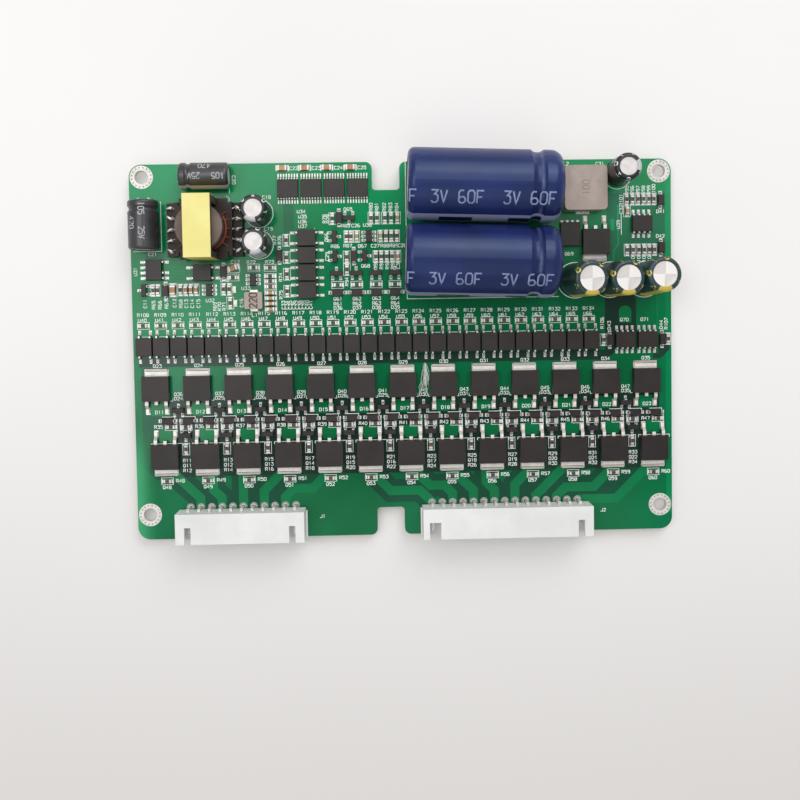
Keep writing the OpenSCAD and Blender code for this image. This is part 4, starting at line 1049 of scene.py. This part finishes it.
def over_rim(top, axis, out, radius, shoulder):
    """Bends a flat drawing over a can's top edge: from its side, over its shoulder, in across its top."""
    cross = axis.cross(out)

    def bend(along, across, lift):
        swing = min(max(along / shoulder, 0), math.pi / 2)
        past = max(along - shoulder * math.pi / 2, 0)
        reach = radius - shoulder + (shoulder + lift) * math.cos(swing) - past
        rise = (shoulder + lift) * math.sin(swing) - shoulder + min(along, 0)
        tilt = across / radius
        return tuple(top + axis * rise + (out * math.cos(tilt) + cross * math.sin(tilt)) * reach)
    return bend


STORAGE_SKEW = math.radians(-1.9)
STORAGE_AXIS = Vector((math.cos(STORAGE_SKEW), math.sin(STORAGE_SKEW), 0))
STORAGE_SIDE = Vector((-math.sin(STORAGE_SKEW), math.cos(STORAGE_SKEW), 0))
STORAGE_BEAD = 12.0
STORAGE_PHASE = 11.5
RATING = "3V 60F"
RATING_H = 2.9
RATING_W = 0.36
RATING_SLIM = 0.76
RATING_SPOTS = ((RATING, -6.7), (RATING, 9.6), (RATING[-1], -16.7))
# Each storage capacitor: degrees from its top to the stripe and to the rating
STORAGE_TURNS = {1: (59, 26), 2: (67, 34)}


def dress_storage_caps():
    for number, (stripe, turn) in STORAGE_TURNS.items():
        low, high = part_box(f"storage_cap_{number}_sleeve")
        can = Can(middle=(low + high) / 2, axis=STORAGE_AXIS, side=STORAGE_SIDE, stripe=stripe,
                  bead=STORAGE_BEAD, half=(high.x - low.x) / 2 / MM, phase=STORAGE_PHASE)
        paint(storage_sleeve_finish(f"navy_sleeve_{number}", can), f"storage_cap_{number}_sleeve")
        out = UP * math.cos(math.radians(turn)) - STORAGE_SIDE * math.sin(math.radians(turn))
        words = [(word, spot, 0, 0) for word, spot in RATING_SPOTS]
        bend = round_can(can.middle, STORAGE_AXIS, out, (high.z - low.z) / 2 / MM)
        print_on_can(f"storage_rating_{number}", SLEEVE_PRINT, "storage_sleeve", bend, words,
                     RATING_H, RATING_W, RATING_SLIM)


dress_storage_caps()

# Upright capacitors: base, axis and direction of the stripe, as laid on the board
OUTPUT_L, OUTPUT_D, OUTPUT_STAND = 12, 8.2, 0.757
UPRIGHT_L, UPRIGHT_D, UPRIGHT_STAND = 11.3, 6.3, 0.3
OUTPUT_LEAN = math.radians(6.4)
LAST_LEAN = math.radians(3.3)
SLEEVE_T = 0.14
SHOULDER_R = 0.74
OUTPUT_CAPS = [((x, 16), Vector((math.sin(OUTPUT_LEAN), back, math.cos(OUTPUT_LEAN))), (0, -1, 0))
               for x, back in ((41.6, 0), (50, 0), (58.4, math.sin(LAST_LEAN)))]
UPRIGHT_CAPS = [((-34.3, 33.1), UP, (-0.3, -1, 0)), ((-34.4, 25.6), UP, (0.2, -1, 0)),
                ((51.75, 41.5), UP, (1, 0.1, 0))]
# Lying capacitors: near which place each is, its axis and where its stripe faces
LYING_CAPS = [((-52.15, 41.6), Vector((-1, 0, 0)), Vector((0, -0.914, 0.407))),
              ((-60.9, 35.95), Vector((0, -1, 0)), Vector((-1, 0, -0.6)))]


def upright(caps, length, diameter, stand, span):
    """Upright cans, with half of the degrees that a stripe covers."""
    for (x, y), axis, stripe in caps:
        axis = axis.normalized()
        out = (Vector(stripe) - axis * axis.dot(Vector(stripe))).normalized()
        yield Can(middle=in_frame(x, y, stand) + axis * length / 2 * MM, axis=axis, stripe=out,
                  across=axis.cross(out), reach=diameter / 2 + 0.6, half=length / 2 + 1, span=span,
                  top=Vector((x, y, stand)) + axis * length, radius=diameter / 2)


def lying():
    sleeves = solids_of("lying_cap_sleeves")
    for place, axis, stripe in LYING_CAPS:
        solid = min(sleeves, key=lambda s: math.dist(middle_of(s)[:2], place))
        size = solid.max(0) - solid.min(0)
        yield Can(middle=(Vector(middle_of(solid)) + CENTRE) * MM, axis=axis, stripe=stripe.normalized(),
                  across=axis.cross(stripe).normalized(), reach=size[2] / 2 + 0.4, half=max(size) / 2,
                  radius=size[2] / 2, span=15)


output_cans = list(upright(OUTPUT_CAPS, OUTPUT_L, OUTPUT_D, OUTPUT_STAND, 26))
upright_cans = list(upright(UPRIGHT_CAPS, UPRIGHT_L, UPRIGHT_D, UPRIGHT_STAND, 28))
lying_cans = list(lying())
TEAL = small_sleeve_finish("teal_sleeve", (16, 43, 45), (29, 57, 59), (190, 170, 62), 0.6, output_cans)
BLACK = small_sleeve_finish("black_sleeve", (17, 15, 16), (28, 25, 26), (186, 187, 191), 0.4, upright_cans)
CHARCOAL = small_sleeve_finish("charcoal_sleeve", (37, 34, 34), (52, 48, 48), (168, 166, 157), 0.75,
                               lying_cans)

for material, nodes in (
        (TEAL, "output_cap_sleeves"),
        (BLACK, "upright_cap_sleeves"),
        (CHARCOAL, "lying_cap_sleeves"),
        (BOARD, "pcb"),
        (PLATED, "mounting_rings"),
        (NYLON, "header_a_housing header_b_housing"),
        (TIN, "header_a_pins header_b_pins transformer_pins storage_cap_1_leads storage_cap_2_leads"),
        (TIN, "power_inductor_terminals small_inductor_terminals"),
        (TIN, "output_cap_leads upright_cap_leads lying_cap_leads"),
        (CHIP_TIN, "chip_ends"),
        (ALUMINIUM, "storage_cap_1_can storage_cap_2_can output_cap_cans upright_cap_cans lying_cap_cans"),
        (RUBBER, "storage_cap_1_seal storage_cap_2_seal output_cap_seals upright_cap_seals lying_cap_seals"),
        (BOBBIN, "transformer_bobbin"),
        (WINDING, "transformer_winding"),
        (FERRITE, "transformer_upper_core transformer_lower_core"),
        (TAPE, "transformer_tape"),
        (POWDER, "power_inductor_body small_inductor_body"),
        (PACKAGE, "upper_transistor_bodies lower_transistor_bodies switch_transistor_body"),
        (PACKAGE, "flat_transistor_body optocoupler_bodies isolator_bodies logic_bodies"),
        (PACKAGE, "small_outline_bodies small_transistor_bodies diode_bodies"),
        (LEAD_TIN, "flat_transistor_leads optocoupler_leads isolator_leads logic_leads"),
        (LEAD_TIN, "small_outline_leads small_transistor_leads diode_leads"),
        (TAB, "upper_transistor_frames lower_transistor_frames switch_transistor_frame"),
        (MILKY, "indicator_chips"),
        (SOLDER, "solder_joints")):
    paint(material, nodes)


# Chip resistors are white ceramic with a dark film on top; ceramic capacitors are tan through
FILM_H = 0.06
RESISTOR_H = 0.6
END_L = 0.28
CHIP_FOOT = 0.06


def split_chips():
    bases, films, ceramics = Piece(), Piece(), Piece()
    for x, y, turn, length, width, height in CHIPS:
        clear = length - 2 * END_L
        across = width * 0.98
        body = turned(x, y, turn, clear, across)
        if height < RESISTOR_H:
            bases.slab(body, CHIP_FOOT, height - FILM_H)
            film = turned(x, y, turn, clear * 0.98, across * 0.94)
            films.slab(film, height - FILM_H, height - 0.005, 0.04)
        else:
            ceramics.slab(body, CHIP_FOOT, height - 0.01, 0.05)
    bases.add("resistor_ceramics", ALUMINA, "chip_ceramic", "chip_bodies")
    films.add("resistor_films", FILM, "chip_ceramic")
    ceramics.add("capacitor_ceramics", CERAMIC, "chip_ceramic")


LYING_WORDS = [("470", -0.4, -2.3, 0), ("25V", 2, 0.3, 0), ("105", -3.6, 0.3, 0)]
# Marks round the tops: cans, print, slot, marks, letter height and weight
RIM_MARKS = {"output": (output_cans, GOLD_PRINT, "output_sleeve", "47016V", 1.7, 0.32),
             "upright": (upright_cans, PRINT, "small_sleeve", "47025V", 1.25, 0.19)}
RIM_ALONG = 0.25
# The first mark's place, in steps, and how far on the next can's marks are
RIM_START = 0.75
RIM_SHIFT = 0.25


def print_on_small_caps():
    """Plain ratings on the lying cans and round the tops of the output cans."""
    for number, can in enumerate(lying_cans):
        bend = round_can(can.middle, can.axis, UP, can.radius)
        print_on_can(f"lying_rating_{number + 1}", GREY_PRINT, "small_sleeve", bend, LYING_WORDS,
                     1.35, 0.2, 0.8)
    for group, (cans, material, slot, marks, height, weight) in RIM_MARKS.items():
        for number, can in enumerate(cans):
            step = 2 * math.pi * can.radius / (len(marks) + 1)
            bend = over_rim(can.top + can.axis * SLEEVE_T, can.axis, can.stripe, can.radius, SHOULDER_R)
            start = RIM_START + RIM_SHIFT * number
            words = [(mark, RIM_ALONG, (k + start) * step + dice.uniform(-0.4, 0.4), 90)
                     for k, mark in enumerate(marks)]
            print_on_can(f"{group}_rating_{number + 1}", material, slot, bend, words, height, weight, 1.0)


VENT_R = 2.92
VENT_RISE = 0.06
VENT_Z = (-0.1, 0.03)
SCORE = 0.02
QUARTER = 8


def score_vents():
    """Output cans have a cross scored in the top; the quarters between stand proud of the score."""
    low, high = VENT_Z
    for number, can in enumerate(output_cans):
        vent = Piece()
        for quarter in range(4):
            turns = [math.pi / 2 * (quarter + s / QUARTER) for s in range(QUARTER + 1)]
            turns[0] += SCORE
            turns[-1] -= SCORE
            rim = [(VENT_R * math.cos(t), VENT_R * math.sin(t), VENT_RISE * math.sin(math.pi * s / QUARTER))
                   for s, t in enumerate(turns)]
            vent.loft([[(0, 0, low)] + [(x, y, low) for x, y, _ in rim],
                       [(0, 0, high)] + [(x, y, high + z) for x, y, z in rim]])
        turn = math.radians(2 - 3 * number)
        first = can.stripe * math.cos(turn) + can.across * math.sin(turn)
        second = can.axis.cross(first)

        def bend(x, y, z):
            return tuple(can.top + first * x + second * y + can.axis * z)
        material = vent_finish(f"scored_top_{number + 1}", in_frame(*can.top), first, second)
        vent.add(f"scored_vent_{number + 1}", material, "can_aluminium", bend=bend)


# Solder stubs on the pins: out along the pin and up from its top
STUB = ((-0.55, -0.5), (-0.1, -0.05), (0.4, 0.05), (0.85, -0.3), (1.1, -0.75))
STUB_FAN = 38
WIRE_R = 0.12
# Where the wire ends leave the winding
RIM_R = 5.35
RIM_Z = 5.2
TURNS = 6
TURN_R = 5.3
TURN_Z = 4.2
TURN_RISE = 0.42
TURN_WIRE_R = 0.15
TURN_STEPS = 14


def dress_transformer():
    """Solder on the pins, wire ends from the winding to the pins and turns that show on its flank."""
    solder, wire = Piece(), Piece()
    solids = solids_of("transformer_pins")
    pins = [middle_of(s)[:2] for s in solids]
    top = max(s[:, 2].max() for s in solids)
    mid_x = sum(p[0] for p in pins) / len(pins)
    mid_y = sum(p[1] for p in pins) / len(pins)
    for x, y in pins:
        side = 1 if x > mid_x else -1
        heading = math.radians(dice.uniform(-STUB_FAN, STUB_FAN))
        run = Vector((side * math.cos(heading), math.sin(heading), 0))
        stub = [Vector((x, y, top)) + run * reach + UP * lift for reach, lift in STUB]
        solder.tube(stub, dice.uniform(0.24, 0.33))
        lump_x = x - side * dice.uniform(0, 0.3)
        lump_y = y + dice.uniform(-0.2, 0.2)
        solder.dome(lump_x, lump_y, top - 1.1, 0.5, 0.75, (1.3, 0.85))
        start = math.atan2((y - mid_y) * 0.75, side * 5.2)
        rim = (mid_x + RIM_R * math.cos(start), mid_y + RIM_R * math.sin(start), RIM_Z)
        bow = (x * 0.6 + rim[0] * 0.4, y * 0.7 + rim[1] * 0.3, top + 0.5 + dice.uniform(-0.2, 0.4))
        wire.tube([rim, bow], WIRE_R, 6)
        solder.dome(bow[0], bow[1], bow[2] - 0.25, 0.27, 0.42)
        solder.tube([bow, (x - side * 0.4, y + 0.1, top - 0.3)], WIRE_R, 6)
    for turn in range(TURNS):
        first, last = dice.uniform(-70, -40), dice.uniform(15, 50)
        reach = TURN_R + 0.12 * (turn % 3)
        sweep = [math.radians(first + (last - first) * k / TURN_STEPS) for k in range(TURN_STEPS + 1)]
        wire.tube([(mid_x + reach * math.cos(a), mid_y + reach * math.sin(a), TURN_Z + TURN_RISE * turn)
                   for a in sweep], TURN_WIRE_R, 6)
    solder.add("transformer_solder", SOLDER, "solder", smooth=True)
    wire.add("winding_ends", COPPER, "copper_wire", smooth=True)


# Value marks: node, text, letter height, weight and finish
VALUE_MARKS = (("small_inductor_body", "220", 1.75, 0.3, BROWN_PRINT),
               ("power_inductor_body", "100", 1.7, 0.26, FAINT_PRINT))


def mark_inductors():
    """Plain value marks on the two moulded inductors."""
    for node, value, height, weight, material in VALUE_MARKS:
        low, high = ((v / MM - CENTRE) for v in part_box(node))
        mark = Piece()
        for path in letters(value, (low.x + high.x) / 2, (low.y + high.y) / 2, height, 90, 0.78):
            mark.ribbon(path, weight, high.z - 0.02, high.z + 0.02)
        mark.add(f"{node}_mark", material, "pressed_powder")


STRANDS = 24
STRAND_STEPS = 6
STRAND_R = 0.04
TUFT_TOP = (4.95, -3.3)
# Every third strand leans out further down
LEAN_OUT = -0.4
LEAN_STRAIGHT = 0.02


def add_fibres():
    """A tuft of pale fibre caught between two transistors."""
    tuft = Piece()
    for strand in range(STRANDS):
        lean = LEAN_STRAIGHT if strand % 3 else LEAN_OUT
        x = TUFT_TOP[0] + dice.gauss(0, 0.2)
        y = TUFT_TOP[1] - abs(dice.gauss(0, 0.6))
        path = [(x, y, 0.3)]
        for step in range(STRAND_STEPS):
            x += dice.gauss(lean * max(0, step - 1) / 2, 0.24)
            y -= 0.92 + dice.gauss(0, 0.18)
            rise = 0.9 * math.sin(math.pi * (step + 1) / (STRAND_STEPS + 1))
            path.append((x, y, 0.25 + rise + dice.uniform(0, 0.2)))
        tuft.tube(path, STRAND_R, 4)
    tuft.add("fibre_tuft", FIBRE, "board_laminate")


split_chips()
print_on_small_caps()
score_vents()
dress_transformer()
mark_inductors()
add_fibres()


# Camera, light and floor

CAMERA_AT = (-6.964, 5.860, 232.548)
CAMERA_TURN = (2.4512, 1.4751, 0.9558)
FOCAL_PIXELS = 956.84
PICTURE = 800
PRINCIPAL = (400, 360)
SENSOR = 36


def add_camera():
    turn = Vector(math.radians(a) for a in CAMERA_TURN)
    view = Matrix.Rotation(turn.length, 4, turn.normalized())
    data = bpy.data.cameras.new("camera")
    data.sensor_width = SENSOR
    data.lens = FOCAL_PIXELS / PICTURE * SENSOR
    data.shift_x = (PICTURE / 2 - PRINCIPAL[0]) / PICTURE
    data.shift_y = (PRINCIPAL[1] - PICTURE / 2) / PICTURE
    data.clip_start = 0.01
    camera = add_object("camera", data)
    camera.matrix_world = Matrix.Translation(Vector(CAMERA_AT) * MM) @ view.transposed()
    bpy.context.scene.camera = camera


FLOOR_HALF = 1.5
FLOOR_GLOW = 0.18
FLOOR_TONES = ((238, 236, 235), (243, 241, 240))
# Painted shade: the floor darkens to this colour towards the front, between these places in metres
NEAR_SHADE = (217, 214, 212)
NEAR_SHADE_Y = (-0.13, 0.03)


def add_floor():
    """A pale sheet, faintly lit through, that takes the board's shadow; painted shade darkens it towards the
    front.
    """
    mesh = bpy.data.meshes.new("floor")
    corners = rect(-FLOOR_HALF, -FLOOR_HALF, FLOOR_HALF, FLOOR_HALF)
    mesh.from_pydata([(x, y, cad_box[0].z) for x, y in corners], [], [(0, 1, 2, 3)])
    floor = add_object("floor", mesh)
    made = Finish("pale_floor",
                  {"Roughness": 0.8, "Specular IOR Level": 0.1, "Emission Strength": FLOOR_GLOW})
    _, y, _ = made.split(made.place())
    sheet = made.mix(1 - y.rise(*NEAR_SHADE_Y), made.cloudy(6, *FLOOR_TONES, 2.0), shade(*NEAR_SHADE))
    made.set({"Base Color": made.mix(FLOOR_GLOW, sheet, NO_LIGHT), "Emission Color": sheet})
    mesh.materials.append(made.material)


# Softboxes look at the middle of the board: place, side and watts
SOFTBOXES = {
    "left_softbox": ((-0.354, 0.15, 0.9), 0.52, 2.9),
    "front_softbox": ((0, -0.52, 0.9), 0.7, 1.2),
    "high_softbox": ((0.2, 0.53, 1.0), 0.8, 3.4),
    "back_softbox": ((0.35, 0.83, 0.75), 0.7, 4.2),
}


def add_softboxes():
    for name, (at, side, power) in SOFTBOXES.items():
        data = bpy.data.lights.new(name, "AREA")
        data.shape = "SQUARE"
        data.size = side
        data.energy = power
        lamp = add_object(name, data)
        lamp.location = at
        lamp.rotation_euler = (-Vector(at)).to_track_quat("-Z", "Y").to_euler()


SIDE_SKY = 0.5
ZENITH_SKY = 0.18


def add_sky():
    """Bright round the sides and dim overhead, so that flat faces keep their colour."""
    world = bpy.data.worlds.new("studio")
    tree = Tree(world, "Background")
    _, _, height = tree.split(tree.place("Generated"))
    grey = [(level, level, level) for level in (SIDE_SKY, ZENITH_SKY)]
    tree.set({"Color": tree.mix(height.rise(0.6, 0.95), *grey)})
    bpy.context.scene.world = world


add_camera()
add_floor()
add_softboxes()
add_sky()
bpy.context.scene.view_settings.view_transform = "Standard"
